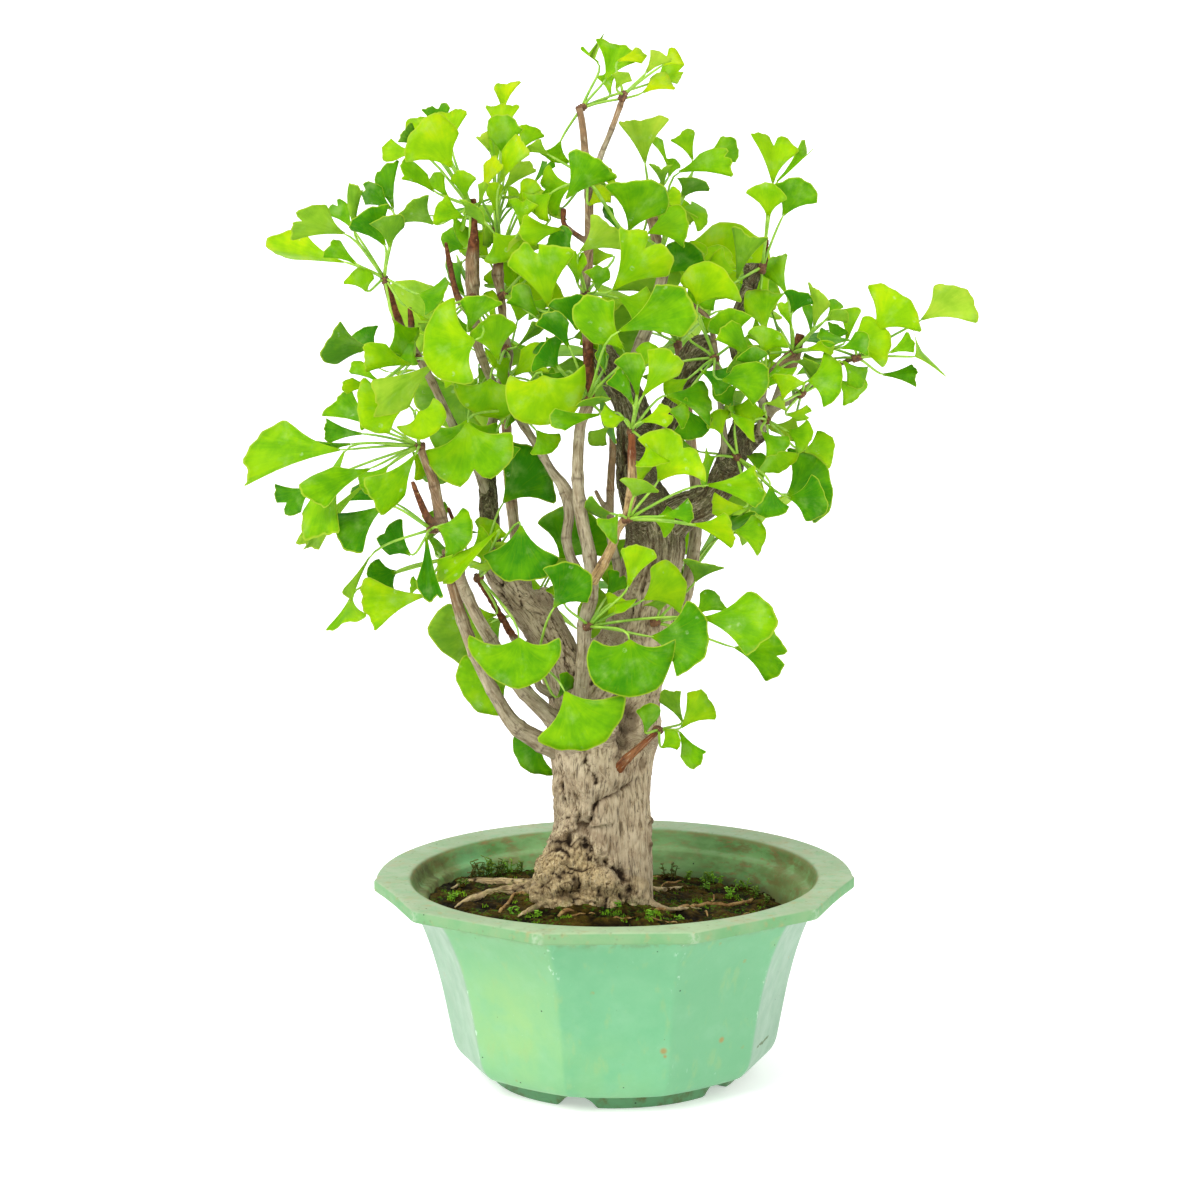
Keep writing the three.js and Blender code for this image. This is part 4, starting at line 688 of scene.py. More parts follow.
# Each piece: its kind of bark, the size of the voxels that fuse it, and its limbs. A limb is a
# list of stations: [across, height, depth, radius]
WOOD = {
    "trunk": ("old", 1.15, [
        [[-14, 72, 6, 20], [-14, 100, 5, 36], [-15, 124, 3, 42], [-13, 148, 4, 37],
         [-9, 172, 4, 33], [-8, 198, 4, 33.5], [-8, 220, 4, 35], [-7, 242, 5, 38.5],
         [-4, 264, 6, 38], [4, 283, 7, 33], [13, 302, 9, 26], [19, 324, 10, 22],
         [23, 346, 11, 20.5], [30, 372, 12, 20.5], [27, 394, 14, 19], [19, 414, 16, 15.5],
         [17, 434, 18, 14], [16, 456, 21, 12.5], [12, 473, 24, 11.5], [4, 488, 26, 11],
         [-4, 503, 28, 9], [-10, 515, 29, 6]],
        [[12, 100, -14, 15], [12, 124, -14, 15], [12, 150, -12, 14.5], [11, 178, -10, 15],
         [9, 206, -8, 15], [12, 236, -2, 17]],
        [[-34, 108, -18, 22], [-36, 128, -18, 22], [-34, 146, -16, 19], [-27, 166, -14, 15],
         [-22, 190, -12, 12]],
        [[-8, 180, -18, 14], [-13, 205, -18, 16], [-20, 226, -16, 15], [-27, 244, -12, 14]],
    ]),
    "left_limb": ("old", 1.0, [
        [[-22, 258, 0, 20], [-32, 279, -2, 16], [-39, 298, -2, 13.5], [-52, 322, -1, 13],
         [-67, 340, 1, 12], [-79, 358, 3, 9.5], [-83, 378, 5, 7.5], [-84, 402, 6, 6.6],
         [-85, 428, 8, 6]],
        [[-30, 284, 6, 12], [-36, 304, 7, 10.5], [-46, 324, 6, 10], [-53, 341, 5, 10]],
        [[-58, 302, -6, 4], [-67, 309, -13, 3], [-78, 328, -17, 2.4], [-90, 348, -21, 2.2],
         [-94, 355, -22, 1.5]],
    ]),
    "cut_limb": ("old", 0.9, [
        [[24, 438, 19, 9], [36, 455, 20, 8.5], [42, 469, 21, 8], [48, 484, 22, 8.5],
         [55, 498, 23, 10.5], [62, 506, 23, 12], [70, 509, 23, 9.5]],
    ]),
    "right_limb": ("old", 0.9, [
        [[33, 383, 12, 15], [48, 396, 8, 13], [62, 402, 5, 11.5], [73, 413, 3, 10.5],
         [80, 427, 2, 10], [83, 440, 2, 8.5], [86, 450, 2, 6], [88, 460, 2, 5]],
        [[80, 428, 2, 8], [91, 441, 0, 6.5], [99, 449, -1, 6.5], [104, 453, -1, 6]],
    ]),
    "cut_branch": ("old", 0.75, [
        [[98, 447, 2, 4], [106, 464, 5, 3.8], [98, 481, 8, 3.4], [87, 499, 11, 3.4],
         [83, 516, 13, 3.6], [87, 533, 12, 4.4], [93, 547, 10, 5], [96, 557, 9, 5.6],
         [96, 566, 9, 6]],
        [[97, 554, 9, 3], [103, 562, 8, 2.6], [105, 571, 8, 2], [106, 582, 8, 1.4]],
    ]),
    "right_shoots": ("young", 0.78, [
        [[101, 450, -4, 3.4], [104, 461, -9, 3.2], [103, 474, -11, 2.8], [106, 487, -11, 2.6],
         [115, 498, -10, 2.6], [122, 504, -9, 3.4]],
        [[102, 456, -7, 3], [110, 467, -8, 3.2], [116, 482, -6, 3.4], [121, 494, -4, 4.2],
         [125, 503, -4, 4.2], [129, 518, -3, 3]],
        [[109, 465, -9, 2.2], [120, 471, -12, 1.9], [128, 477, -14, 2.4],
         [152, 495, -16, 1.7], [167, 502, -18, 1.7]],
    ]),
    "right_thin_shoot": ("young", 0.78, [
        [[77, 424, -2, 3.4], [77, 447, -4, 2.6], [75, 466, -4, 2.3], [72, 500, -1, 2.1],
         [67, 527, 4, 1.9], [57, 537, 8, 1.7], [47, 545, 10, 1.6]],
    ]),
    "front_shoot": ("young", 0.78, [
        [[-24, 258, -26, 6], [-22, 273, -37, 5.2], [-20, 296, -41, 5], [-19, 319, -42, 5],
         [-15, 336, -42, 4.8], [-14, 352, -42, 4.8], [-16, 371, -40, 4.6],
         [-20, 390, -38, 4.6], [-23, 420, -34, 4.1], [-21, 456, -30, 3.8],
         [-16, 471, -28, 4.6], [-15, 500, -25, 3.7], [-17, 546, -18, 3.6],
         [-15, 567, -16, 3.6], [-14, 584, -14, 3.1], [-14, 613, -10, 3], [-16, 638, -6, 2.7],
         [-18, 660, -4, 2.5], [-20, 671, -3, 2.4]],
        [[-15, 616, -9, 2.6], [-9, 630, -8, 2.3], [-5, 641, -7, 2.2], [1, 655, -6, 2],
         [7, 671, -5, 2], [9, 677, -5, 1.8]],
        [[-15, 581, -13, 2.2], [-25, 588, -10, 1.8], [-31, 594, -8, 1.8],
         [-31, 604, -8, 2.2]],
    ]),
    "red_shoot": ("red", 0.78, [
        [[-14, 348, -44, 4], [-6, 361, -47, 3.6], [0, 373, -49, 3.2], [4, 385, -50, 3],
         [10, 394, -51, 3.2], [14, 413, -51, 3.6], [14, 432, -51, 2.9], [14, 451, -51, 2.6]],
    ]),
    "diagonal_shoot": ("young", 0.78, [
        [[-17, 346, -40, 3.8], [-25, 358, -36, 3.6], [-31, 377, -31, 3.5],
         [-29, 396, -27, 3.8], [-32, 413, -24, 4.4], [-41, 426, -21, 3.2],
         [-52, 445, -17, 2.9], [-67, 468, -11, 2.9], [-79, 484, -6, 2.9], [-88, 505, 0, 3.2],
         [-92, 524, 3, 4], [-93, 545, 4, 4.6], [-93, 570, 4, 5], [-92, 582, 4, 3.6],
         [-92, 611, 4, 2.2]],
        [[-92, 529, 4, 2.6], [-101, 541, 5, 2.8], [-105, 550, 5, 2.3], [-109, 570, 5, 1.9],
         [-111, 582, 5, 1.2]],
    ]),
    "slim_shoot": ("young", 0.78, [
        [[-85, 421, 8, 4.4], [-83, 448, 12, 3.6], [-76, 478, 16, 3.4], [-70, 502, 17, 3.8],
         [-72, 520, 17, 3], [-74, 545, 17, 2.9], [-76, 560, 17, 4], [-75, 572, 17, 3],
         [-77, 588, 17, 2.1]],
    ]),
    "upper_left_shoot": ("young", 0.78, [
        [[-84, 408, 5, 4], [-95, 436, -2, 3.1], [-108, 458, -6, 2.9], [-121, 486, -9, 2.9],
         [-132, 506, -11, 3.1], [-140, 518, -12, 3.6], [-147, 538, -13, 2.9],
         [-152, 557, -14, 2.7]],
        [[-137, 513, -12, 2.8], [-135, 525, -13, 2.3], [-136, 538, -13, 1.5]],
    ]),
    "left_long_shoot": ("young", 0.78, [
        [[-34, 246, -16, 7], [-50, 261, -27, 5.8], [-65, 277, -31, 5.2], [-75, 294, -33, 4.8],
         [-84, 309, -34, 4.6], [-94, 327, -34, 4.3], [-104, 351, -34, 4.1],
         [-110, 374, -34, 3.9], [-117, 395, -34, 4.1], [-122, 420, -34, 3.6],
         [-130, 441, -34, 3]],
        [[-119, 384, -34, 3.4], [-126, 394, -37, 2.7], [-132, 408, -40, 2.2],
         [-136, 419, -42, 1.4]],
        [[-103, 350, -32, 2.4], [-103, 366, -25, 1.8], [-107, 387, -23, 1.5],
         [-112, 401, -23, 1.4]],
    ]),
    "left_low_shoot": ("young", 0.78, [
        [[-36, 230, -4, 8], [-52, 238, -9, 7], [-68, 249, -13, 5.8], [-79, 266, -15, 4.8],
         [-91, 290, -16, 4.5], [-98, 308, -16, 4.6], [-105, 329, -14, 4.1],
         [-110, 350, -11, 3.7], [-114, 372, -9, 3]],
    ]),
    "inner_shoot": ("young", 0.78, [
        [[14, 334, 8, 5], [6, 344, 1, 3.7], [3, 363, -2, 3], [-1, 381, -3, 3], [-1, 405, -2, 2.8],
         [0, 426, -2, 2.7], [1, 440, -1, 2.4], [0, 453, 0, 1.8]],
        [[-1, 396, -3, 2.2], [-7, 404, -5, 1.7], [-11, 412, -6, 1.4]],
    ]),
    "trunk_sprouts": ("red", 0.78, [
        [[2, 216, -27, 4.2], [9, 224, -36, 3.2], [20, 234, -40, 2.6], [30, 243, -42, 1.7]],
    ]),
    "left_sprout": ("young", 0.78, [
        [[-38, 270, -8, 4.4], [-50, 275, -14, 2.9], [-53, 286, -17, 2.5],
         [-54, 297, -18, 2.1]],
    ]),
    "back_top_shoot": ("young", 0.78, [
        [[8, 482, 26, 6], [18, 505, 31, 4.8], [28, 532, 34, 4.5], [36, 562, 36, 4.1],
         [31, 585, 37, 3.8], [27, 606, 37, 3.4]],
    ]),
    "back_left_shoot": ("young", 0.78, [
        [[-22, 240, 26, 9], [-36, 272, 44, 6.4], [-52, 316, 56, 5.2], [-64, 368, 64, 4.4],
         [-70, 424, 70, 3.8], [-72, 488, 72, 3]],
    ]),
    "back_right_shoot": ("young", 0.78, [
        [[10, 262, 28, 9], [30, 298, 46, 6.4], [50, 340, 58, 5.2], [58, 392, 66, 4.4],
         [54, 448, 70, 3.8], [46, 510, 72, 3]],
    ]),
}
# Surface roots as lists of [x, y, radius] in plan
ROOTS = [
    [[-30, 6, 10], [-55, 28, 5.5], [-80, 50, 3.6], [-102, 52, 2.8], [-118, 26, 2]],
    [[-28, -6, 11], [-56, 8, 6], [-80, 12, 4], [-100, -4, 3], [-112, -24, 2]],
    [[-24, -20, 9], [-42, -30, 3.6], [-58, -40, 2.2], [-72, -56, 1.4]],
    [[14, -12, 7], [34, -22, 2.2], [48, -10, 1.6], [66, 12, 1.2]],
    [[8, 20, 9], [30, 42, 2.6], [46, 66, 1.6], [62, 82, 1.2]],
    [[-20, 22, 11], [-40, 56, 4], [-46, 86, 2]],
]


def real_place(x, z, depth):
    """The real place, in millimetres, of a point drawn on the elevation."""
    reach = 1 - depth / EYE_MM[1]
    return [EYE_MM[0] + (x - EYE_MM[0]) * reach, depth, EYE_MM[2] + (z - EYE_MM[2]) * reach]


def as_drawn(points):
    """Where real points appear on the elevation: across and height."""
    reach = 1 - points[:, 1] / EYE_MM[1]
    return (EYE_MM[0] + (points[:, 0] - EYE_MM[0]) / reach,
            EYE_MM[2] + (points[:, 2] - EYE_MM[2]) / reach)


def route_of(stations):
    """A stem's smooth route as rows of x, y, z and radius."""
    return curve_through([[*real_place(x, z, depth), r] for x, z, depth, r in stations], 6)


def root_route(plan):
    """A surface root's route, half sunk in the soil, thin and buried at its end."""
    route = curve_through([[x, y, soil_height(x, y) + 1.4 - r * 0.2, r] for x, y, r in plan], 6)
    end = np.linspace(0, 1, len(route)) ** 6
    route[:, 2] -= 3.5 * end
    route[:, 3] *= 1 - 0.7 * end
    return route


def run_of(route):
    """The distance run along a route up to each of its points."""
    steps = np.linalg.norm(np.diff(route[:, :3], axis=0), axis=1)
    return np.concatenate([[0], np.cumsum(steps)])


def axes_along(route):
    """The side, front and forward directions at each point of a route, without any twist."""
    forward = np.gradient(route[:, :3], axis=0)
    forward /= np.linalg.norm(forward, axis=1)[:, None]
    side, sides = np.cross(forward[0], (0, 1, 0.01)), []
    for direction in forward:
        side = side - direction * side.dot(direction)
        side = side / np.linalg.norm(side)
        sides.append(side)
    sides = np.array(sides)
    return sides, np.cross(forward, sides), forward


def sweep(shape, route, sides):
    """Draws a ring along a route, from point to point, and closes both ends."""
    ring = bmesh.ops.create_circle(shape, cap_ends=True, radius=1, segments=sides)["verts"]
    rim = list({edge for vert in ring for edge in vert.link_edges})
    before = Matrix.Identity(4)
    for index, axes in enumerate(zip(*axes_along(route))):
        turned = Matrix([Vector(axis) for axis in axes]).transposed().to_4x4()
        now = (Matrix.Translation(Vector(route[index, :3]) * MM) @ turned
               @ Matrix.Scale(route[index, 3] * MM, 4))
        if index:
            made = bmesh.ops.extrude_edge_only(shape, edges=rim)["geom"]
            ring = {item for item in made if isinstance(item, bmesh.types.BMVert)}
            rim = [item for item in made if isinstance(item, bmesh.types.BMEdge)
                   and item.verts[0] in ring and item.verts[1] in ring]
        bmesh.ops.transform(shape, matrix=now @ before.inverted(), verts=list(ring))
        before = now
    bmesh.ops.edgeloop_fill(shape, edges=rim)


def scars_of(route, spacing, seed):
    """How far along a stem its rings of old leaf scars sit."""
    random, length = np.random.default_rng(seed), run_of(route)[-1]
    rings = np.arange(0.4 * spacing, length, spacing)
    return rings + random.uniform(-0.25, 0.25, len(rings)) * spacing


def knobby(route, spacing, swell, seed):
    """The same route, a little swollen at each ring of scars."""
    run, grown = run_of(route), route.copy()
    for ring in scars_of(route, spacing, seed):
        grown[:, 3] *= 1 + swell * np.exp(-(((run - ring) / 2.4) ** 2))
    return grown


def fused(name, routes, sides, voxel, smoothing):
    """Sweeps the routes and fuses them into one even skin."""
    shape = bmesh.new()
    for route in routes:
        sweep(shape, route, sides)
    blank = bpy.data.objects.new(name, mesh_of(shape, name + "_rough"))
    scene.collection.objects.link(blank)
    skin = blank.modifiers.new("skin", "REMESH")
    skin.mode, skin.voxel_size = "VOXEL", voxel * MM
    melt = blank.modifiers.new("melt", "SMOOTH")
    melt.factor, melt.iterations = 0.5, smoothing
    evaluated = blank.evaluated_get(bpy.context.evaluated_depsgraph_get())
    mesh = bpy.data.meshes.new_from_object(evaluated)
    mesh.name = name
    bpy.data.objects.remove(blank)
    return mesh


# %% [markdown]
# ## Bark that follows the grain
# Old ginkgo bark splits along the stem into ridges with dark cracks between them. Noise on plain
# coordinates would run through every stem in one direction, so each point first gets its place
# in the grain: how far it is off the nearest stem's middle and how far along that stem. Noise
# read there and drawn out along the stem gives long cracks that turn with every bend. Where two
# stems meet, the nearest ones share the relief. The depth of a crack is kept for the colour, which
# is painted darker the deeper it goes: painted shade.

# %% Grain and relief
def near_stems(points, routes):
    """For each stem near the points: their share in it, places in its grain, run and radius."""
    found = []
    for index, route in enumerate(routes):
        centres = route[:, :3]
        far = (points**2).sum(1)[:, None] + (centres**2).sum(1) - 2 * points @ centres.T
        nearest = (np.sqrt(np.maximum(far, 0)) - route[:, 3]).argmin(1)
        side, front, forward = (axis[nearest] for axis in axes_along(route))
        offset = points - centres[nearest]
        a, b, c = ((offset * axis).sum(1) for axis in (side, front, forward))
        run = run_of(route)
        along = run[nearest] + c
        past_end = np.maximum(np.maximum(-along, along - run[-1]), 0)
        depth = np.hypot(np.hypot(a, b) - route[nearest, 3], past_end)
        depth = np.where(np.hypot(a, b) < route[nearest, 3], -depth, depth) + past_end
        found.append((depth, np.stack([a + 211 * index, b, along], 1), along / run[-1],
                      route[nearest, 3]))
    nearest_depth = np.min([depth for depth, *_ in found], axis=0)
    shares = [np.exp(-np.minimum((depth - nearest_depth) / 2.2, 30)) for depth, *_ in found]
    total = np.sum(shares, axis=0)
    return [(share / total, *rest) for share, (_, *rest) in zip(shares, found)]


def old_relief(grain, radius):
    """Ridged, split bark: how far it stands out, and how deep in a crack it is."""
    long = grain * (1, 1, 0.32)
    size = np.clip(radius / 20, 0.3, 1)
    broad = soft_noise(long, 15)
    folds = 0.4 - np.abs(soft_noise(long + 11, 10))
    somewhere = smooth_step(soft_noise(grain * (1, 1, 0.6) + 60, 20), -0.25, 0.3)
    split = somewhere * np.exp(-((soft_noise(long + 31, 8) / 0.07) ** 2))
    finer = np.exp(-((soft_noise(grain * (1, 1, 0.4) + 9, 3.2) / 0.12) ** 2))
    cross = somewhere * np.exp(-((soft_noise(grain + 77, 6) / 0.06) ** 2))
    flakes = soft_noise(grain * (1, 1, 0.6) + 5, 2.3)
    out = size * (1.3 * broad + 1.7 * folds - 1.6 * split - 0.8 * cross)
    out += -0.55 * finer + 0.5 * flakes
    low = 0.8 * split + 0.4 * cross + 0.38 * finer - 0.4 * flakes - 0.35 * folds
    return out, np.clip(low, 0, 1)


def young_relief(grain, radius):
    """Smooth young bark with faint lengthwise lines."""
    lines = soft_noise(grain * (1, 1, 0.12), 1.5)
    out = 0.12 * lines + 0.1 * soft_noise(grain, 5)
    return out, 0.5 * smooth_step(-lines, 0.25, 0.8)


def gnarled(points):
    """Lumps, pits and curling flakes for the oldest bark: height, and how dark."""
    bent = points + 2.5 * np.stack([soft_noise(points + k, 9) for k in (5, 25, 45)], 1)
    lumps = 0.35 - np.abs(soft_noise(bent, 11))
    knots = 0.3 - np.abs(soft_noise(bent + 20, 5.2))
    pits = smooth_step(soft_noise(bent + 40, 3.4), 0.1, 0.6)
    grit = soft_noise(points, 1.9)
    out = 2.4 * lumps + 1.3 * knots - 0.9 * pits + 0.5 * grit
    # The crevices between the knots and the pits are painted darker: painted shade.
    dark = smooth_step(-knots, 0.0, 0.4) + 0.8 * pits - 0.4 * grit
    far = np.abs(soft_noise(bent + 70, 8))
    split = np.exp(-((far / 0.07) ** 2))
    return out - 1.1 * split, np.clip(0.3 * dark + 0.75 * split - 1.2 * lumps, 0, 1)


# %% [markdown]
# ## The trunk's own marks
# This trunk has a history: a dark hollow under the first limb, a long crevice that curls round a
# bulge, a round scar, lumps and a purple hollow at its flared foot, and a smooth grey column on
# the right. Random bark can't give those, so they are carved in the front of the trunk by name.
# A groove is a line with a width and a depth, a hollow or a lump is an oval with a height. The
# darkness in the hollows and grooves is painted shade.

# %% Marks on the trunk
# [line on the elevation, half width, depth]
GROOVES = [
    [[(12, 206), (5, 201), (-3, 197), (-10, 194), (-14, 190), (-15, 184), (-18, 179),
      (-21, 174)], 1.7, 5.5],
    [[(-26, 191), (-24, 185), (-26, 179), (-22, 175)], 1.1, 2.6],
    [[(-36, 214), (-36, 205), (-35, 198), (-33, 191)], 1.1, 3.0],
    [[(-36, 182), (-32, 184)], 1.3, 3.0],
    [[(-25, 139), (-24, 134), (-25, 129)], 1.2, 3.2],
    [[(-20, 172), (-18, 164), (-15, 157), (-13, 150), (-9, 147)], 1.5, 3.0],
    [[(-6, 151), (0, 146), (6, 141), (10, 136), (12, 129), (10, 122)], 2.2, 4.5],
    [[(-41, 129), (-34, 131), (-26, 130)], 1.3, 2.5],
    [[(-20, 232), (-19, 222), (-15, 214), (-12, 208)], 1.3, 2.8],
    [[(-37, 230), (-34, 222), (-36, 214)], 1.3, 2.6],
    [[(-45, 160), (-40, 161), (-34, 160), (-30, 156)], 1.4, 3.0],
    [[(-52, 158), (-58, 150), (-60, 143)], 1.6, 2.5],
    [[(-30, 147), (-22, 144), (-17, 146)], 1.2, 2.2],
    [[(4, 240), (6, 232), (3, 225)], 1.5, 3.0],
]
# [middle, half width, half height, how far it stands out (a hollow is negative), how dark: painted
# shade in a hollow]
OVALS = [
    [(12, 251), 9, 13, -10, 0.85], [(8, 236), 6, 8, -5, 0.7], [(-33, 126), 8, 4.5, -6, 0.75],
    [(-32, 168), 3, 4.5, -4, 1.0], [(20, 220), 3, 5, -2.5, 0.6], [(-22, 178), 3, 2.5, -3, 0.8],
    [(-42, 166), 8, 5, 3.5, 0.5], [(-28, 186), 3, 6, 1.6, 0.15], [(-49, 148), 10, 9, 4, 0.0],
    [(-22, 140), 12, 7, 4, 0.0], [(-5, 137), 8, 9, 5.5, 0.0], [(26, 181), 2.6, 3, 3.2, 0.7],
    [(-8, 214), 15, 15, 5.5, 0.0], [(-35, 155), 6, 5, 2.5, 0.3], [(-56, 128), 8, 7, 3, 0.1],
    [(-31, 226), 6, 16, 3, 0.0], [(-40, 205), 4, 9, 2, 0.0], [(-20, 184), 5, 7, 3, 0.0],
    [(-14, 155), 5, 6, 2, 0.2], [(26, 164), 1.8, 2, 1.6, 0.7],
]


def from_line(x, z, line):
    """The distance of each point on the elevation from a line of short straight pieces."""
    best = np.full(len(x), 1e9)
    for (x0, z0), (x1, z1) in zip(line, line[1:]):
        share = ((x - x0) * (x1 - x0) + (z - z0) * (z1 - z0)) / ((x1 - x0) ** 2 + (z1 - z0) ** 2)
        share = np.clip(share, 0, 1)
        best = np.minimum(best, np.hypot(x - x0 - share * (x1 - x0), z - z0 - share * (z1 - z0)))
    return best


def carve(points, facing, out, low, rooty):
    """Adds the marks to the trunk's relief and to its dark places."""
    x, z = as_drawn(points)
    waver = 1.6 * soft_noise(points, 7) + 0.9 * soft_noise(points + 30, 2.6)
    in_front = smooth_step(-facing[:, 1], 0.0, 0.35)
    below_line = ((x + 19) * -32 + (z - 172) * -30) / 44 + 2 * waver
    rough = smooth_step(below_line, -3, 4) * smooth_step(-z, -186, -176)
    rough = np.maximum(rough, 0.6 * smooth_step(-x + waver, 15, 22) * smooth_step(-z, -222, -200))
    rough = np.where(facing[:, 1] > 0.3, smooth_step(-z, -180, -150), rough) * (1 - rooty)
    lumpy, pitted = gnarled(points)
    column = (smooth_step(x + waver, -9, -1) * smooth_step(z, 122, 140)
              * smooth_step(-z, -208, -190) * in_front * (1 - rough))
    out = out * (1 - 0.6 * column) * (1 - 0.6 * rough) + rough * lumpy
    low = low * (1 - 0.55 * column) * (1 - 0.5 * rough) + rough * pitted
    ragged = 0.75 + 0.9 * soft_noise(points + 60, 5)
    for line, width, depth in GROOVES:
        far = from_line(x + waver, z + waver, line) / width
        cut = in_front * np.exp(-((far / np.clip(ragged, 0.35, 1.5)) ** 2))
        valley = in_front * np.exp(-((far / 3.2) ** 2))
        out -= 0.6 * depth * cut + 0.4 * depth * valley
        # The middle of a groove is painted dark: painted shade.
        low = np.maximum(low, np.clip(1.25 * cut**1.8 * np.clip(ragged, 0.5, 1), 0, 1))
        low = np.maximum(low, 0.14 * valley)
    for (x0, z0), width, height, rise, dark in OVALS:
        far = ((x + waver - x0) / width) ** 2 + ((z + 0.7 * waver - z0) / height) ** 2
        oval = in_front * np.exp(-(far**1.5))
        out += rise * oval
        # In a hollow this darkness is painted shade; on the round scar it is its own dark colour.
        low = np.maximum(low, dark * smooth_step(oval, 0.2, 0.7) * (0.75 + 0.4 * pitted))
    return out, low, rough


# %% Bark materials
def bark_material(name, pale, deep, patch, crack, dull, relief, streaks):
    """Bark in two tones along the grain, with patches, cracks and fine fibres."""
    material, tree, shader = new_material(name)
    at = add(tree, "TexCoord").outputs["Object"]
    grain = add(tree, "Attribute", attribute_name="grain").outputs["Vector"]
    lines = fibres(tree, stretched(tree, grain, (1, 1, 0.14)), 620, 0.4)
    splits = fibres(tree, stretched(tree, grain, (1, 1, 0.18)), 380, 0.7)
    crumbly = fibres(tree, at, 520, 0.8)
    tone = coats(
        tree, two_tone(tree, at, 11, pale, deep),
        [patch, mottle(tree, at, 24, 0.45, 0.7), 0.7],
        # The tan tones are lighter than the tan bark alone: partly painted light from the left on
        # the trunk's base.
        [two_tone(tree, at, 6, "#ccb27c", "#a89060", 0.4, 0.6), own(tree, "tan"), 0.7],
        [two_tone(tree, at, 7, "#94704c", "#7b5a3c"), own(tree, "brown")],
        # Darker old wood high up: painted shade under the crown, with rougher, more cracked bark.
        [two_tone(tree, at, 5, "#6e6a4a", "#4f4c32"), own(tree, "shaded_high_up")],
        [crack, spread(tree, lines, 0.5, 0.36), 0.7],
        ["#c6b799", spread(tree, splits, 0.56, 0.66), streaks],
        ["#806a4a", spread(tree, splits, 0.48, 0.4), streaks],
        [crack, spread(tree, splits, 0.41, 0.36), streaks],
        [crack, own(tree, "shaded_high_up"), spread(tree, splits, 0.51, 0.43), 0.8],
        ["#d2c5a8", spread(tree, lines, 0.54, 0.68), 0.5],
        ["#5a4624", own(tree, "rough"), spread(tree, crumbly, 0.47, 0.36), 0.6],
        # Pale flecks on the rough base: partly painted light from the left.
        ["#dfcc9c", own(tree, "rough"), spread(tree, crumbly, 0.54, 0.66), 0.75],
        [two_tone(tree, at, 3, "#4f2b18", "#7d4a2b", 0.4, 0.6), own(tree, "red"),
         mottle(tree, at, 5, 0.1, 0.4)],
        ["#cdbf82", specks(tree, at, 5, 0.14, 0.1), 0.6],
        [crack, specks(tree, at, 2.6, 0.14, 0.2), 0.6],
        # Darker the deeper the bark lies, in cracks, grooves, pits and hollows: painted shade.
        ["#5a462d", spread(tree, own(tree, "low"), 0.1, 0.6, 0, 0.6)],
        [crack, spread(tree, own(tree, "low"), 0.45, 1.0)],
        ["#453222", own(tree, "ring"), 0.6],
        ["#4c6b1a", own(tree, "moss"), mottle(tree, at, 3, 0.35, 0.55)],
    )
    uneven = sums(tree, "ADD", lines, times(tree, own(tree, "rough"), crumbly, 1.5))
    uneven = sums(tree, "ADD", uneven, times(tree, splits, 1.5 * streaks))
    matt = spread(tree, lines, 0.3, 0.7, dull, dull + 0.12)
    finish(tree, shader, {"Base Color": tone, "Roughness": matt, "Specular IOR Level": 0.2},
           (uneven, 0.8, relief))
    return material


BARKS = {
    "old": bark_material("fissured_bark", "#c2b192", "#a69276", "#ccbc9e", "#2b1f12", 0.85,
                         0.0011, 0.5),
    "young": bark_material("young_bark", "#a99d81", "#8b7e62", "#b7ad92", "#4a3a26", 0.7,
                           0.0004, 0.35),
    "red": bark_material("red_bark", "#8d5128", "#713a1d", "#a0714a", "#3c1f12", 0.55, 0.0004,
                         0.0),
}
BARK_SLOTS = {"old": "bark", "young": "young_bark", "red": "red_bark"}

# Where a stem's bark is still red-brown: [which of its limbs, from this height up]
RED_FROM = {"front_shoot": [(2, 580)], "diagonal_shoot": [(0, 572), (1, 538)],
            "slim_shoot": [(0, 562)], "upper_left_shoot": [(0, 524), (1, 520)],
            "left_long_shoot": [(1, 384), (2, 352)], "right_shoots": [(1, 506), (0, 500)],
            "cut_branch": [(1, 556)], "left_limb": [(2, 306)]}
RED_BAND = {"front_shoot": (468, 512)}

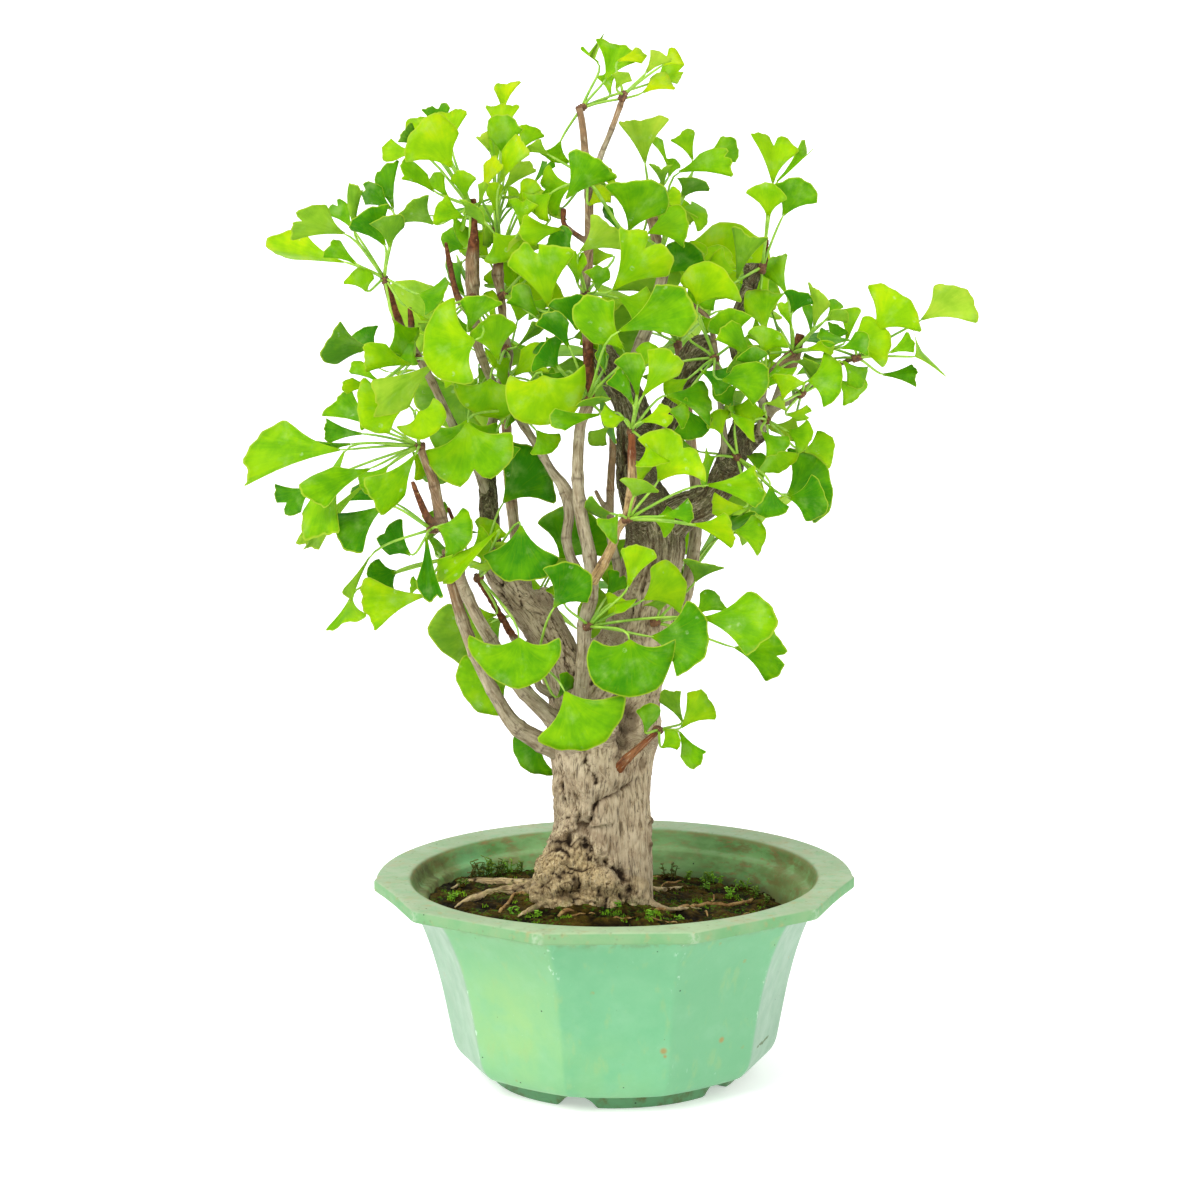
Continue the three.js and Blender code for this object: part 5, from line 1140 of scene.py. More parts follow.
# %% Grow the wood
SCAR_SPACING, ROOT_KNOT_SPACING, KNOB_SWELL = 27, 15, 0.14
wood_points = []
for name, (kind, voxel, limbs) in WOOD.items():
    routes = [route_of(stations) for stations in limbs]
    if kind != "old":
        routes = [knobby(route, SCAR_SPACING, KNOB_SWELL, len(name) + i)
                  for i, route in enumerate(routes)]
    roots = [knobby(root_route(plan), ROOT_KNOT_SPACING, KNOB_SWELL, i)
             for i, plan in enumerate(ROOTS)]
    stems = routes + (roots if name == "trunk" else [])
    mesh = fused(name, stems, 24 if kind == "old" else 12, voxel, 4 if kind == "old" else 3)
    points, facing = places(mesh), outward(mesh)
    relief = old_relief if kind == "old" else young_relief
    across, up = as_drawn(points)
    out, low, grain = np.zeros(len(points)), np.zeros(len(points)), np.zeros((len(points), 3))
    tan, red, ring, brown = (np.zeros(len(points)) for _ in range(4))
    for index, (share, place, along, radius) in enumerate(near_stems(points, stems)):
        stands, sinks = relief(place, radius)
        out, low, grain = out + share * stands, low + share * sinks, grain + share[:, None] * place
        tan += share * (index >= len(routes))
        brown += share * smooth_step(along + 0.25 * soft_noise(points, 14), 0.4, 0.9)
        for limb, bottom in RED_FROM.get(name, []):
            red += share * (limb == index) * smooth_step(up, bottom, bottom + 7)
        for scar in scars_of(stems[index], SCAR_SPACING, len(name) + index):
            wobbly = place[:, 2] + 0.8 * soft_noise(points, 4) - scar
            patchy = smooth_step(soft_noise(points + 90, 4), -0.35, 0.3)
            ring = np.maximum(ring, share * patchy * np.exp(-((wobbly / 0.8) ** 2)))
    # Old wood from about 340 mm up is painted darker and rougher: painted shade under the crown,
    # with rougher bark.
    rough, shaded_high_up = np.zeros(len(points)), smooth_step(up + 8 * soft_noise(points, 14), 338, 385)
    if name == "trunk":
        rooty = smooth_step(np.hypot(points[:, 0] + 14, points[:, 1] + 4), 44, 58) * tan
        out, low, rough = carve(points, facing, out, low, rooty)
        out *= 1 - 0.7 * rooty
        upright = smooth_step(-up - 9 * soft_noise(points, 12), -250, -228) * (1 - rooty)
        grain += upright[:, None] * (points - grain)
        # The left of the trunk's base is tan bark, painted light tan: partly painted light from the
        # left.
        tan = np.clip(0.75 * tan + smooth_step(-across - 0.6 * (up - 128), -14, 6)
                      * smooth_step(-up, -176, -150), 0, 1)
    if name == "red_shoot":
        tan = smooth_step(-up, -436, -424)
    rough = np.maximum(rough, 0.35 * shaded_high_up * (kind == "old"))
    bottom, top = RED_BAND.get(name, (0, -9))
    red += smooth_step(up, bottom, bottom + 8) * smooth_step(-up, -top - 8, -top)
    set_places(mesh, points + facing * out[:, None])
    soil_line = points[:, 2] - soil_height(points[:, 0], points[:, 1])
    mossy = smooth_step(-soil_line, -8, 1) * smooth_step(soft_noise(points, 9), -0.05, 0.4)
    for kept, values in [("low", low), ("red", red), ("tan", tan), ("rough", rough),
                         ("ring", ring * (kind != "old")), ("shaded_high_up", shaded_high_up * (kind == "old")),
                         ("brown", 0.8 * brown * (kind == "young")),
                         ("moss", mossy * (1 - 0.6 * tan) * (name == "trunk")),
                         ("grain", grain * MM)]:
        keep(mesh, kept, values)
    show(mesh, BARK_SLOTS[kind], [BARKS[kind]], *([name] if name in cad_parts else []))
    wood_points.append(np.vstack([route[:, :4] for route in stems]))
wood_points = np.vstack(wood_points)

# %% [markdown]
# ## Leaves
# A ginkgo leaf is a thin fan on a long stalk. Its side edges curve in to the stalk, its rim is
# wavy and often split by a notch, fine veins run straight out from its foot, and no two hang
# alike. Each frame tuft already says where every leaf is: a flat six-cornered plate for the
# blade. The plates are read from the frame, and a grid is bent into a fan over each one. The
# fan is cupped and waved, and a solidify gives it its thin edge.

# %% Read the blades from a tuft
PLATE_HALF, FOOT_WIDTH = 0.4, 1.8
BUD_RADIUS = 4.4
OCTAHEDRON_NORMAL = 1 / math.sqrt(3)


def bud_middle(shape):
    """The middle of a tuft's bud: its eight faces all lie at the same distance from it."""
    rows, sides = [], []
    for face in shape.faces:
        if (face.calc_area() > 0.8 * MM**2
                and all(abs(abs(n) - OCTAHEDRON_NORMAL) < 0.004 for n in face.normal)):
            rows.append(list(face.normal))
            sides.append(face.normal.dot(face.calc_center_median())
                         - BUD_RADIUS * MM * OCTAHEDRON_NORMAL)
    return np.linalg.lstsq(np.array(rows), np.array(sides), rcond=None)[0] / MM


def blades_of(node):
    """The bud's middle, and each blade's foot and rim ends in millimetres, with the way its plate
    faces.
    """
    shape = bmesh.new()
    shape.from_mesh(node.data)
    bmesh.ops.remove_doubles(shape, verts=shape.verts, dist=2e-6)
    bmesh.ops.dissolve_limit(shape, angle_limit=math.radians(0.6), use_dissolve_boundaries=False,
                             verts=shape.verts, edges=shape.edges)
    shape.normal_update()
    bud = bud_middle(shape)
    plates = []
    for face in shape.faces:
        corners = np.array([vert.co for vert in face.verts]) / MM
        edges = np.linalg.norm(corners - np.roll(corners, -1, axis=0), axis=1)
        foot = int(np.abs(edges - FOOT_WIDTH).argmin())
        if len(corners) != 6 or abs(edges[foot] - FOOT_WIDTH) > 0.02:
            continue
        normal = np.array(face.normal)
        rim = np.roll(corners, -foot - 2, axis=0)[:4] - PLATE_HALF * normal
        start = np.roll(corners, -foot, axis=0)[:2].mean(0) - PLATE_HALF * normal
        reach = np.linalg.norm(rim - start, axis=1)
        if face.calc_area() / MM**2 < 1.4 * reach.max() or np.linalg.norm(start - bud) < 3:
            continue
        if all(np.linalg.norm(start - other[0]) > 0.3 for other in plates):
            plates.append((start, rim, normal))
    shape.free()
    return bud, plates


# %% [markdown]
# Colour differs from leaf to leaf: young ones at the top are yellow, old ones inside the crown
# are deep green. A list of places on the elevation gives the tone of the leaves that stand out,
# from 0, yellow, to 1, deep green. The others take a tone by height with a little chance.

# %% Tones of the leaves that stand out
# [across, height, tone] at the foot of the blade
LEAF_TONES = [
    [36, 699, 0.02], [-117, 646, 0.1], [-71, 669, 0.02], [-80, 642, 0.05], [-78, 603, 0.08],
    [-14, 606, 0.1], [2, 572, 0.1], [21, 459, 0.12], [-139, 471, 0.2], [30, 688, 0.2],
    [25, 694, 0.15], [1, 680, 0.2], [-130, 642, 0.25], [-73, 648, 0.15], [-62, 605, 0.12],
    [-172, 568, 0.45], [-174, 592, 0.5], [-136, 499, 0.2], [-179, 340, 0.3], [-72, 283, 0.35],
    [-122, 645, 0.8], [-147, 604, 0.75], [-50, 622, 0.75], [-29, 611, 0.6], [-149, 579, 0.75],
    [-163, 510, 0.8], [-26, 573, 0.8], [-28, 510, 0.85], [-37, 499, 0.95], [-23, 522, 0.85],
    [7, 588, 0.8], [52, 518, 0.8], [123, 532, 0.8], [149, 510, 0.75], [-205, 415, 0.85],
    [-170, 452, 0.75], [-148, 404, 0.75], [-156, 402, 0.75], [-74, 404, 0.85], [50, 468, 0.75],
    [121, 406, 0.75], [-148, 357, 0.85], [-138, 368, 0.85], [-127, 380, 1.0], [-40, 331, 0.85],
    [57, 348, 0.75], [-112, 652, 0.6], [-119, 594, 0.65], [-48, 530, 0.6], [-185, 441, 0.35],
    [-64, 310, 0.5], [-33, 272, 0.45], [12, 308, 0.7], [27, 310, 0.65], [-62, 388, 0.8],
    [2, 549, 0.2], [86, 556, 0.6], [-41, 537, 0.3],
]
NOTCHED = [(110, 620), (2, 549), (32, 418), (-41, 537), (-179, 588)]


def tone_of(foot, random):
    """A leaf's tone from its place, and whether its rim is split by a notch."""
    x, z = (value[0] for value in as_drawn(foot[None]))
    far = [math.hypot(x - a, z - b) for a, b, _ in LEAF_TONES]
    nearest = int(np.argmin(far))
    if far[nearest] < 5:
        tone = 0.16 + 0.95 * LEAF_TONES[nearest][2]
    else:
        youngest = np.interp(z, [560, 620], [0.3, 0.1])
        tone = np.interp(z, [250, 450, 600, 700], [0.6, 0.55, 0.44, 0.28])
        tone = max(tone + random.normal(0, 0.18), youngest)
    notched = any(math.hypot(x - a, z - b) < 5 for a, b in NOTCHED) or random.random() < 0.12
    return float(np.clip(tone, 0, 1)), notched


# %% Bend a grid into a fan
THICK = 0.32
CORNER = 0.13
# Blades whose form stands out: [across, height, crest, spread, cup, bow]
LEAF_FORMS = [
    [12, 308, 1.16, 1.22, 0.2, -0.1], [-33, 272, 1.05, 1.0, 0.1, -0.12],
    [-64, 310, 0.92, 1.25, 0.25, -0.05], [32, 418, 0.8, 1.1, 0.35, 0.0],
    [-71, 669, 0.78, 1.0, 0.2, 0.0], [-2, 690, 0.9, 1.0, 0.2, 0.0],
    [24, 634, 0.92, 1.0, 0.2, 0.0], [110, 620, 0.9, 1.0, 0.2, 0.0],
    [113, 621, 0.9, 1.0, 0.2, 0.0], [36, 619, 0.75, 1.0, 0.1, 0.0],
    [86, 556, 0.85, 1.0, 0.2, 0.0], [6, 521, 1.05, 1.1, 0.15, -0.1],
    [-82, 489, 1.1, 1.15, 0.2, -0.1], [-46, 491, 1.12, 1.2, 0.2, -0.1],
    [-98, 461, 1.1, 1.15, 0.1, -0.1], [-98, 459, 1.12, 1.1, 0.1, -0.1],
    [-92, 515, 1.1, 1.1, 0.15, -0.1], [-41, 537, 1.06, 1.0, 0.1, -0.1],
    [2, 549, 1.06, 1.0, 0.1, -0.1], [-185, 441, 1.05, 1.0, 0.2, -0.05],
    [62, 323, 1.08, 1.05, 0.1, -0.05], [-62, 388, 1.12, 1.1, 0.2, -0.1],
    [-28, 510, 0.95, 1.1, 0.3, -0.1], [9, 508, 1.0, 1.0, 0.2, -0.1],
]


def form_of(foot, random):
    """A blade's crest, spread, cup and bow: its own where it has a form, else by chance."""
    x, z = (value[0] for value in as_drawn(foot[None]))
    for a, b, *form in LEAF_FORMS:
        if math.hypot(x - a, z - b) < 3:
            return form
    return (random.uniform(0.92, 1.1), random.uniform(1.08, 1.25), random.uniform(-0.12, 0.2),
            random.uniform(-0.14, 0.04))


def round_lobes(share, out):
    """Slides the rim's corners inwards along a circle, so both lobes of a blade are round."""
    side = np.clip((np.abs(share) - 1) / CORNER + 1, 0, 1)
    rim = np.clip((out - 1) / CORNER + 1, 0, 1)
    shrink = np.maximum(side, rim) / np.maximum(np.hypot(side, rim), 1e-6)
    shrink = np.where((side > 0) & (rim > 0), shrink, 1)
    share = np.sign(share) * np.where(side > 0, 1 - CORNER + CORNER * side * shrink, np.abs(share))
    return share, np.where(rim > 0, 1 - CORNER + CORNER * rim * shrink, out)


def fan_places(start, rim, normal, share, out, random, notched):
    """Places of a blade's grid points: share runs from -1 to 1 across, out from 0 to 1."""
    axis = (rim[1] + rim[2]) / 2 - start
    axis /= np.linalg.norm(axis)
    first, last = rim[0] - start, rim[3] - start
    across = np.cross(normal, axis)
    if across @ last < 0:
        across = -across
    half = math.acos(np.clip(last @ axis / np.linalg.norm(last), -1, 1))
    lengths = 1.08 * np.linalg.norm(first), 1.08 * np.linalg.norm(last)
    high, wide, cup, bow = form_of(start, random)
    crest = high * max(lengths)
    full_share = share
    share, out = round_lobes(share, out)
    edge = np.interp(share, [-1, 1], lengths)
    reach = edge + (crest - edge) * smooth_step(1 - np.abs(share), 0, 0.8)
    lobes = random.uniform(0, 6.3, 3)
    ripple = (0.032 * np.sin(3.1 * share + lobes[0]) + 0.022 * np.sin(7.5 * share + lobes[1])
              + 0.013 * np.sin(17 * share + lobes[2]))
    reach *= 1 + ripple * out**4
    if notched:
        split, depth = random.uniform(-0.1, 0.1), random.uniform(0.12, 0.3)
        reach *= 1 - depth * out**2 * np.exp(-(((full_share - split) / 0.1) ** 2))
    spare = np.interp(half, [0.5, 1.2], [0.5, 0.42])
    angle = share * min(wide * half, 1.9) * (1 - spare + spare * out**1.3)
    flat = (start + (out * reach * np.cos(angle))[:, None] * axis
            + (out * reach * np.sin(angle) + share * 0.8 * (1 - out) ** 2)[:, None] * across)
    roll = random.uniform(2, 4.5)
    wave = 0.055 * np.sin(roll * share + random.uniform(0, 6)) * out**2
    lift = crest * (cup * (share * out) ** 2 + bow * out**2 + wave)
    return flat + lift[:, None] * normal, axis


def upper_side(start, normal):
    """The normal turned to the side of the blade that grew towards the light."""
    light = np.array([0.5 * start[0] / 150, 0.5 * start[1] / 150 - 0.5, 1.0])
    return normal if normal @ light > 0 else -normal


# %% Stalk and bud
def stalk_route(bud, start, axis):
    """A leaf stalk that leaves the bud and bends round into line with the blade."""
    span = np.linalg.norm(start - bud)
    end = start + 1.6 * axis
    pull = start - 0.24 * span * axis
    middle = bud + 0.45 * (start - bud) + np.array([0, 0, 0.05 * span])
    t = np.linspace(0, 1, 7)[:, None]
    curve = ((1 - t) ** 3 * bud + 3 * (1 - t) ** 2 * t * middle + 3 * (1 - t) * t**2 * pull
             + t**3 * end)
    thick = np.interp(t[:, 0], [0, 0.15, 0.8, 1], [1.35, 1.0, 0.85, 0.45])
    return np.concatenate([curve, thick[:, None]], axis=1)


BUD_OUTLINE = [(0, -4.2), (2.4, -4), (3.1, -2.6), (2.6, -1.9), (3.2, -1.2), (2.6, -0.5),
               (3.1, 0.4), (2.3, 1.2), (2.6, 2.2), (1.6, 3.2), (0, 3.6)]


def add_bud(shape, middle, heading):
    """A short spur with rings of old scales, turned to the way its leaves point."""
    before = set(shape.verts)
    corners = [shape.verts.new((r * MM, 0, z * MM)) for r, z in BUD_OUTLINE]
    edges = [shape.edges.new(pair) for pair in zip(corners, corners[1:])]
    bmesh.ops.spin(shape, geom=corners + edges, axis=(0, 0, 1), cent=(0, 0, 0),
                   angle=2 * math.pi, steps=10, use_merge=True)
    turn = Vector(heading).to_track_quat("Z", "Y").to_matrix().to_4x4()
    bmesh.ops.transform(shape, matrix=Matrix.Translation(Vector(middle) * MM) @ turn,
                        verts=list(set(shape.verts) - before))


# %% [markdown]
# The blade's colour and its fine veins follow the fan, so its material reads the grid's own UV
# map: U runs across the fan and V from the foot to the rim. A narrow pale margin, a lighter
# centre near the foot, faint scuffs and streaks along the veins break up the green. Light also
# shines through a leaf, so a translucent shader is mixed in. The underside is paler and duller.

# %% Leaf materials
VEIN_STRENGTH = 0.16


def leaf_material(name, ramp, dull):
    """A leaf skin whose tone comes from each leaf and whose veins follow the fan."""
    material, tree, shader = new_material(name)
    at = add(tree, "TexCoord").outputs["Object"]
    fan = add(tree, "UVMap", uv_map="fan").outputs["UV"]
    across, outwards, _ = add(tree, "SeparateXYZ", {"Vector": fan}).outputs
    lines = fibres(tree, stretched(tree, fan, (34, 1.2, 1)), 1.0, 0.15)
    broad = fibres(tree, stretched(tree, fan, (9, 1.4, 1)), 1.0, 0.3)
    cloudy = spread(tree, mottle(tree, at, 20, 0.25, 0.75), 0, 1, -0.14, 0.14)
    tone = sums(tree, "ADD", own(tree, "tone"), spread(tree, broad, 0.3, 0.7, -0.08, 0.08))
    tones = add(tree, "ValToRGB", {"Fac": sums(tree, "ADD", tone, cloudy)})
    points = tones.color_ramp.elements
    points[0].position, points[0].color = 0.0, colour(ramp[0])
    points[1].position, points[1].color = 1.0, colour(ramp[-1])
    for index, code in enumerate(ramp[1:-1], 1):
        points.new(index / (len(ramp) - 1)).color = colour(code)
    from_side = sums(tree, "MINIMUM", across, sums(tree, "SUBTRACT", 1.0, across))
    margin = sums(tree, "MAXIMUM", spread(tree, outwards, 0.968, 0.988),
                  spread(tree, from_side, 0.018, 0.006))
    skin = coats(
        tree, tones.outputs["Color"],
        [ramp[0], spread(tree, lines, 0.5, 0.72, 0, VEIN_STRENGTH)],
        [ramp[1], spread(tree, outwards, 0.22, 0.0, 0, 0.5)],
        ["#cfe0a8", specks(tree, at, 7, 0.3, 0.1), mottle(tree, at, 2, 0.4, 0.6), 0.35],
        # Soft pale patches over the leaf: painted sheen.
        ["#bddd7c", mottle(tree, at, 16, 0.5, 0.8), 0.4],
        ["#bcd63a", margin, 0.75],
    )
    matt = spread(tree, lines, 0.3, 0.7, dull, dull + 0.12)
    finish(tree, shader, {"Base Color": skin, "Roughness": matt, "Specular IOR Level": 0.1},
           (lines, 0.4, 0.0004))
    through = add(tree, "BsdfTranslucent", {"Color": skin})
    both = add(tree, "MixShader", {0: 0.35, 1: shader.outputs[0], 2: through.outputs[0]})
    tree.links.new(both.outputs[0], tree.nodes["Material Output"].inputs["Surface"])
    return material


LEAF_TOP = leaf_material("leaf_upper_side",
                         ["#cde000", "#a6d400", "#84c200", "#5fa800", "#3a8c00"], 0.42)
LEAF_UNDER = leaf_material("leaf_underside",
                           ["#cfe048", "#b2d63a", "#96c62c", "#78ae24", "#5a9622"], 0.6)

# %% Stalk and bud materials
stalk_green, tree, shader = new_material("leaf_stalk")
at = add(tree, "TexCoord").outputs["Object"]
green = coats(tree, two_tone(tree, at, 14, "#9bc63c", "#7aae2c"),
              ["#bcd86a", mottle(tree, at, 5, 0.5, 0.7), 0.5])
finish(tree, shader, {"Base Color": green, "Roughness": 0.45})

scale_brown, tree, shader = new_material("bud_scales")
at = add(tree, "TexCoord").outputs["Object"]
brown = coats(tree, two_tone(tree, at, 2.2, "#7d5430", "#4d2d18"),
              ["#c2a05e", specks(tree, at, 1.6, 0.3, 0.25), 0.7])
finish(tree, shader, {"Base Color": brown,
                      "Roughness": spread(tree, mottle(tree, at, 2), 0, 1, 0.6, 0.8)})

# %% Grow the leaves
def add_leaf(shape, bud, plate, random, layers):
    """Adds one blade and its stalk to a tuft."""
    start, rim, normal = plate
    normal = upper_side(start, normal)
    uv, tone_layer = layers
    before = set(shape.faces)
    width = np.linalg.norm(rim[0] - rim[3])
    columns, rows = (8, 3) if width < 15 else (12, 4) if width < 28 else (20, 6)
    made = bmesh.ops.create_grid(shape, x_segments=columns, y_segments=rows, size=1,
                                 calc_uvs=True)["verts"]
    share = np.array([vert.co.x for vert in made])
    out = np.array([(vert.co.y + 1) / 2 for vert in made])
    tone, notched = tone_of(start, random)
    bent, axis = fan_places(start, rim, normal, share, out, random, notched)
    for vert, place in zip(made, bent):
        vert.co = Vector(place) * MM
    blade = [face for face in shape.faces if face not in before]
    blade = bmesh.ops.triangulate(shape, faces=blade)["faces"]
    bmesh.ops.solidify(shape, geom=blade, thickness=THICK * MM)
    for face in set(shape.faces) - before:
        face.normal_update()
        face.material_index = int(face.normal.dot(Vector(normal)) < -0.05)
    stalked = set(shape.faces)
    sweep(shape, stalk_route(bud, start, axis), 5)
    for face in set(shape.faces) - stalked:
        face.material_index = 2
    for vert in {vert for face in set(shape.faces) - before for vert in face.verts}:
        vert[tone_layer] = tone


# %% [markdown]
# The heart of the crown is so dense that hardly any light comes through it. Each tuft there gets
# a few smaller blades behind the ones in sight. A blade is tried at random places round its bud,
# and it stays only where it is inside the heart and clear of all other blades and of the wood.

# %% Smaller blades in the heart of the crown
HEART = np.array([(-121, 620), (-87, 657), (-43, 643), (-13, 630), (7, 616), (61, 616), (84, 575),
                  (105, 555), (128, 534), (156, 520), (149, 473), (142, 445), (129, 411),
                  (91, 377), (60, 363), (53, 336), (19, 322), (-36, 336), (-77, 350),
                  (-118, 364), (-145, 392), (-172, 406), (-192, 427), (-185, 462), (-174, 496),
                  (-153, 523), (-122, 543), (-111, 576), (-125, 600)])


def in_heart(x, z):
    """Whether a place on the elevation is inside the crown's heart."""
    (x0, z0), (x1, z1) = HEART.T, np.roll(HEART, -1, axis=0).T
    crossed = (z0 > z) != (z1 > z)
    return np.sum(crossed & (x < x0 + (z - z0) / (z1 - z0 + 1e-9) * (x1 - x0))) % 2 == 1


def middle_of(start, rim):
    """The middle of a blade."""
    return start + 0.55 * (rim.mean(0) - start)


def more_blades(bud, count, taken, random):
    """Up to `count` smaller blades round a bud, clear of the places already taken."""
    made = []
    for _ in range(70):
        heading = random.normal(size=3) + (0, 0.6, 0.2)
        heading /= np.linalg.norm(heading)
        start = bud + heading * random.uniform(12, 32)
        axis = heading + 0.5 * random.normal(size=3) - (0, 0, 0.3)
        axis /= np.linalg.norm(axis)
        across = np.cross(np.array([0.2, -0.8, 0.6]) + 0.45 * random.normal(size=3), axis)
        across /= np.linalg.norm(across)
        reach, half = random.uniform(14, 22), random.uniform(0.65, 0.95)
        rim = np.array([start + reach * (math.cos(a) * axis + math.sin(a) * across)
                        for a in (-half, -0.4 * half, 0.4 * half, half)])
        middle = middle_of(start, rim)
        off_wood = np.linalg.norm(wood_points[:, :3] - middle, axis=1) - wood_points[:, 3]
        if (all(in_heart(*place) for place in zip(*as_drawn(rim))) and off_wood.min() > 8
                and np.linalg.norm(np.array(taken) - middle, axis=1).min() > 12.5):
            made.append((start, rim, np.cross(axis, across)))
            taken.append(middle)
        if len(made) == count:
            break
    return made


# %% Grow every tuft
leaf_count = 0
tufts = {name: blades_of(node) for name, node in sorted(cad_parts.items())
         if name.startswith("leaves_")}
taken = [middle_of(start, rim) for _, plates in tufts.values() for start, rim, _ in plates]
for number, (name, (bud, plates)) in enumerate(tufts.items()):
    random = np.random.default_rng(100 + number)
    shape = bmesh.new()
    layers = shape.loops.layers.uv.new("fan"), shape.verts.layers.float.new("tone")
    heading = np.mean([start for start, _, _ in plates], axis=0) - bud
    plates += more_blades(bud, 4, taken, np.random.default_rng(500 + number))
    for plate in plates:
        add_leaf(shape, bud, plate, random, layers)
    leafy = set(shape.faces)
    add_bud(shape, bud, heading)
    for face in set(shape.faces) - leafy:
        face.material_index = 3
    leaf_count += len(plates)
    show(mesh_of(shape, name + "_grown"), "leaf",
         [LEAF_TOP, LEAF_UNDER, stalk_green, scale_brown], name)
print("leaves grown:", leaf_count)

# %% [markdown]
# ## Life on the soil
# The compost isn't bare. Crumbs and clods lie loose on it, moss grows in small tufts, weeds have
# come up, and thin tan rootlets run over it. Each is a few faces, because there are hundreds, and
# each stands on the real surface: a ray is dropped on the soil to find its height at that place.

# %% Places on the soil
soil_faces = [list(face.vertices) for face in soil_mesh.polygons]
soil_tree = BVHTree.FromPolygons([vert.co for vert in soil_mesh.vertices], soil_faces)


def ground_at(x, y):
    """A place on top of the soil, in millimetres."""
    hit = soil_tree.ray_cast(Vector((x, y, 300)) * MM, Vector((0, 0, -1)))[0]
    return np.array([x, y, hit.z / MM if hit else soil_height(x, y)])


def scatter(count, random, patchiness):
    """Random places on the soil, clear of the trunk and gathered in patches."""
    found = []
    while len(found) < count:
        angle, reach = random.uniform(0, 2 * math.pi), 122 * math.sqrt(random.random())
        x, y = reach * math.cos(angle), reach * math.sin(angle)
        patch = soft_noise(np.array([[x, y, 0]]), 26)[0] > patchiness * random.uniform(-0.5, 1)
        if patch and math.hypot(x + 12, y + 5) > 42:
            found.append(ground_at(x, y))
    return found


# %% Crumbs and clods
random = np.random.default_rng(31)
shape = bmesh.new()
for place in scatter(520, random, 0.0):
    size = random.uniform(0.5, 1.3) if random.random() < 0.85 else random.uniform(1.5, 3)
    lump = bmesh.ops.create_icosphere(shape, subdivisions=1, radius=size * MM)["verts"]
    for vert in lump:
        vert.co *= random.uniform(0.6, 1.3)
    bmesh.ops.scale(shape, vec=(1, 1, 0.7), verts=lump)
    bmesh.ops.translate(shape, vec=Vector(place + (0, 0, 0.25 * size)) * MM, verts=lump)
crumb_mesh = mesh_of(shape, "soil_crumbs")
keep(crumb_mesh, "low", np.zeros(len(crumb_mesh.vertices)))
show(crumb_mesh, "soil", [earth])

# %% Moss
moss_green, tree, shader = new_material("moss")
at = add(tree, "TexCoord").outputs["Object"]
green = coats(tree, two_tone(tree, at, 5, "#4f7a14", "#7fab1c"),
              ["#3a5412", mottle(tree, at, 14, 0.5, 0.65)])
matt = spread(tree, mottle(tree, at, 3), 0, 1, 0.7, 0.9)
finish(tree, shader, {"Base Color": green, "Roughness": matt, "Specular IOR Level": 0.1})

random = np.random.default_rng(47)
# Where the largest tufts stand, as x and y
MOSS_SPOTS = [(30, -34), (36, -28), (27, -39), (4, -44), (-2, -47), (24, -45), (-62, -46),
              (-54, -49), (-48, -22), (-113, -4), (-108, 4), (-36, -58), (60, 20), (84, 44)]
shape = bmesh.new()
spots = [ground_at(x + random.normal(0, 2.5), y + random.normal(0, 2.5))
         for x, y in MOSS_SPOTS for _ in range(5)]
for place in spots + scatter(110, random, 1.0):
    for _ in range(8):
        tall = random.uniform(1.2, 3.2)
        blade = bmesh.ops.create_cone(shape, cap_ends=False, segments=3, radius1=0.45 * MM,
                                      radius2=0.05 * MM, depth=tall * MM)["verts"]
        lean = Matrix.Rotation(random.uniform(0, 0.7), 4, Vector(random.normal(size=3)))
        stand = place + np.append(random.normal(0, 1.1, 2), 0.3 * tall)
        bmesh.ops.transform(shape, matrix=Matrix.Translation(Vector(stand) * MM) @ lean,
                            verts=blade)
show(mesh_of(shape, "moss_tufts"), "leaf", [moss_green])

# %% Weeds
weed_green, tree, shader = new_material("weed")
at = add(tree, "TexCoord").outputs["Object"]
weed_tone = coats(tree, two_tone(tree, at, 7, "#5c981a", "#7eb428"),
                  [two_tone(tree, at, 4, "#3c4a16", "#5a4526"), own(tree, "dull")])
matt = spread(tree, mottle(tree, at, 3), 0, 1, 0.5, 0.7)
finish(tree, shader, {"Base Color": weed_tone, "Roughness": matt, "Specular IOR Level": 0.2})

# [x, y, height, stems, how dull: 0 fresh green, 1 brown and dark]
WEEDS = [
    [82, 47, 7, 3, 0], [80, 94, 8, 3, 0.1], [83, 108, 9, 4, 0.5], [107, 60, 6, 3, 0.6],
    [56, 106, 7, 3, 0.4], [40, 104, 13, 3, 0.9], [94, 74, 8, 4, 0.3], [68, 70, 5, 2, 0.2],
    [112, 30, 5, 3, 0.7], [-100, 68, 13, 5, 0.8], [-92, 76, 15, 5, 0.6], [-106, 58, 9, 4, 0.9],
    [-84, 82, 12, 5, 0.8], [-76, 86, 10, 4, 0.3], [-113, 40, 7, 4, 0.7], [-66, 92, 8, 3, 0.7],
    [-113, -4, 4, 3, 0.1], [-68, -44, 5, 3, 0.1], [-54, -47, 4, 3, 0], [4, -37, 4, 2, 0],
    [24, -42, 4, 3, 0], [46, -36, 4, 2, 0.1], [70, 100, 7, 3, 0.3],
]
random = np.random.default_rng(53)
shape = bmesh.new()
dull_layer = shape.verts.layers.float.new("dull")
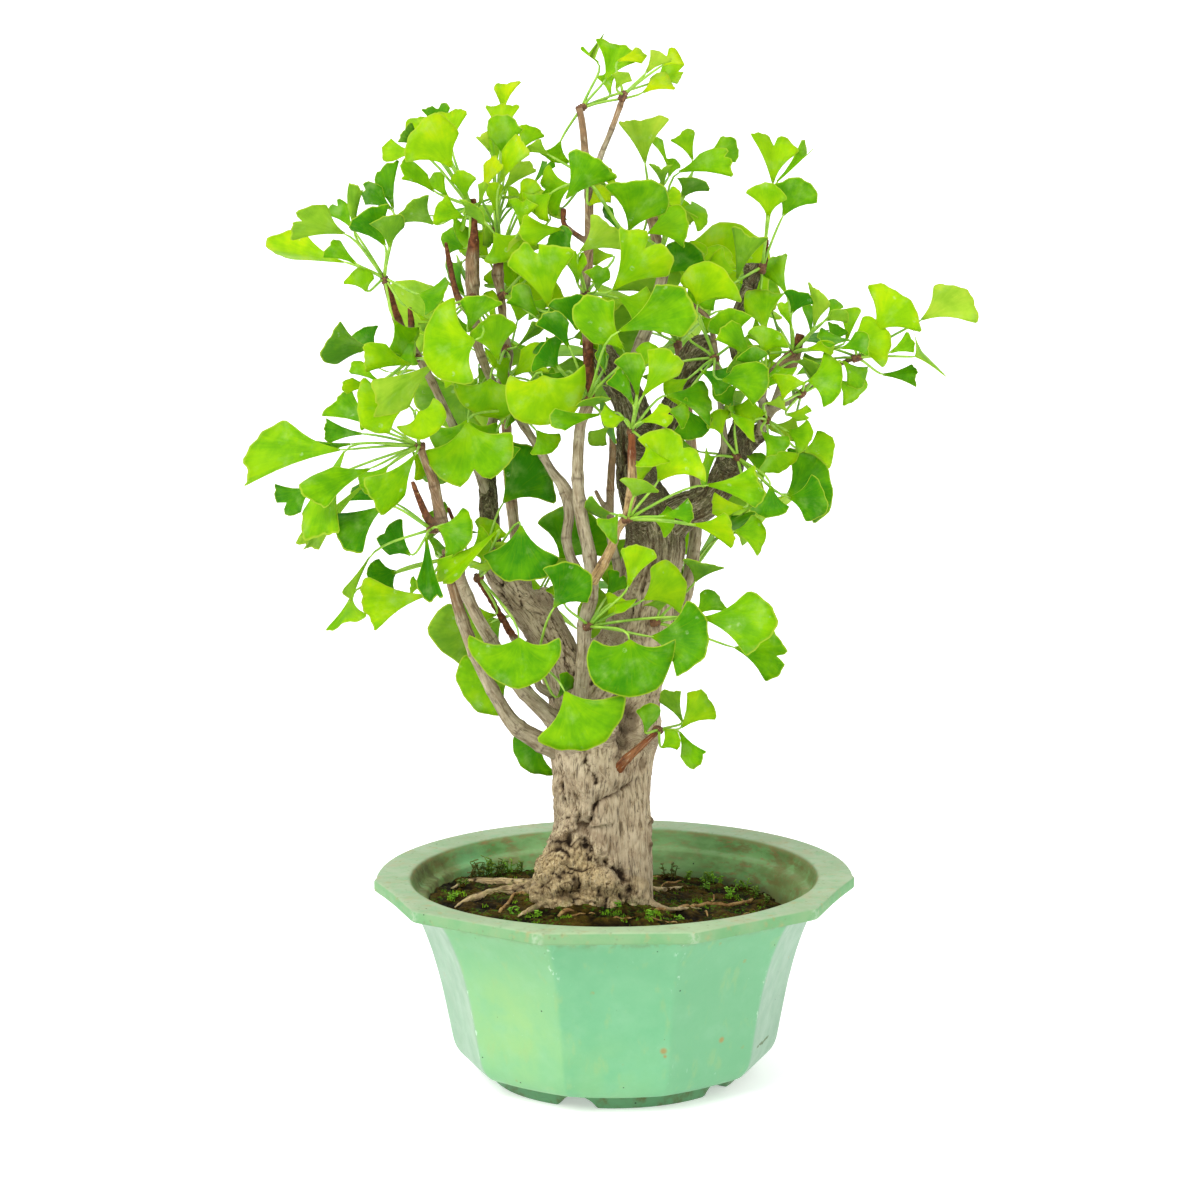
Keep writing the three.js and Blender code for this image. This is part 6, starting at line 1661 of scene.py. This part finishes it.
for x, y, tall, stems, dull in WEEDS:
    inwards = min(1, 115 / math.hypot(x, y))
    for _ in range(stems):
        foot = ground_at(inwards * x + random.normal(0, 1.6), inwards * y + random.normal(0, 1.6))
        tip = foot + np.append(random.normal(0, 0.25 * tall, 2), tall * random.uniform(0.7, 1))
        bend = 0.5 * (foot + tip) + (0, 0, 0.1 * tall)
        stem = curve_through([[*(foot - (0, 0, 0.6)), 0.5], [*bend, 0.4], [*tip, 0.25]], 2)
        older = set(shape.verts)
        sweep(shape, stem, 4)
        for step in range(6):
            at_stem = stem[1 + step // 2 if step < 5 else -1, :3]
            size = random.uniform(0.8, 1.5) * (0.8 + tall / 20)
            leaflet = bmesh.ops.create_icosphere(shape, subdivisions=1, radius=size * MM)["verts"]
            turn = Matrix.Rotation(random.uniform(0, 6.3), 4, "Z")
            droop = Matrix.Rotation(random.uniform(-0.6, 0.3), 4, "Y")
            flat = Matrix.Diagonal((1.2, 0.8, 0.22, 1))
            bmesh.ops.translate(shape, vec=(0.9 * size * MM, 0, 0), verts=leaflet)
            put_there = Matrix.Translation(Vector(at_stem) * MM) @ turn @ droop @ flat
            bmesh.ops.transform(shape, matrix=put_there, verts=leaflet)
        for vert in set(shape.verts) - older:
            vert[dull_layer] = dull
show(mesh_of(shape, "weeds"), "leaf", [weed_green])

# %% Rootlets
rootlet_tan, tree, shader = new_material("rootlet")
at = add(tree, "TexCoord").outputs["Object"]
tan_tone = coats(tree, two_tone(tree, at, 6, "#a88a55", "#7d5a34"),
                 ["#4c3518", mottle(tree, at, 2, 0.5, 0.7)])
matt = spread(tree, mottle(tree, at, 3), 0, 1, 0.6, 0.8)
finish(tree, shader, {"Base Color": tan_tone, "Roughness": matt, "Specular IOR Level": 0.15})

# A rootlet's radius and its places in plan
ROOTLETS = [
    [1.5, (28, -30), (41, -16), (53, 0), (66, 18), (77, 17), (92, 31), (99, 43)],
    [0.8, (66, 18), (70, 34), (71, 48)], [0.8, (63, 2), (65, -16)], [0.7, (90, 48), (94, 28)],
    [1.3, (-79, -42), (-73, -18), (-67, -3), (-59, -3)], [0.6, (-31, -59), (-22, -49), (-12, -45)],
    [0.8, (-2, -53), (14, -45)], [0.9, (28, 104), (35, 108)], [1.0, (36, 88), (50, 98)],
    [0.7, (29, 40), (37, 84)], [1.6, (-38, -50), (-28, -45)], [0.6, (-90, 20), (-78, 34)],
    [0.7, (20, -46), (34, -42), (44, -44)], [0.6, (100, 10), (86, -10)],
]
shape = bmesh.new()
for radius, *plan in ROOTLETS:
    run = curve_through([[*place, radius] for place in plan], 5)
    route = np.array([[*(ground_at(x, y) + (0, 0, 0.5 * r)), r] for x, y, r in run])
    route[[0, -1], 2] -= 1.5
    route[-2:, 3] *= 0.6
    sweep(shape, route, 6)
show(mesh_of(shape, "rootlets"), "bark", [rootlet_tan])
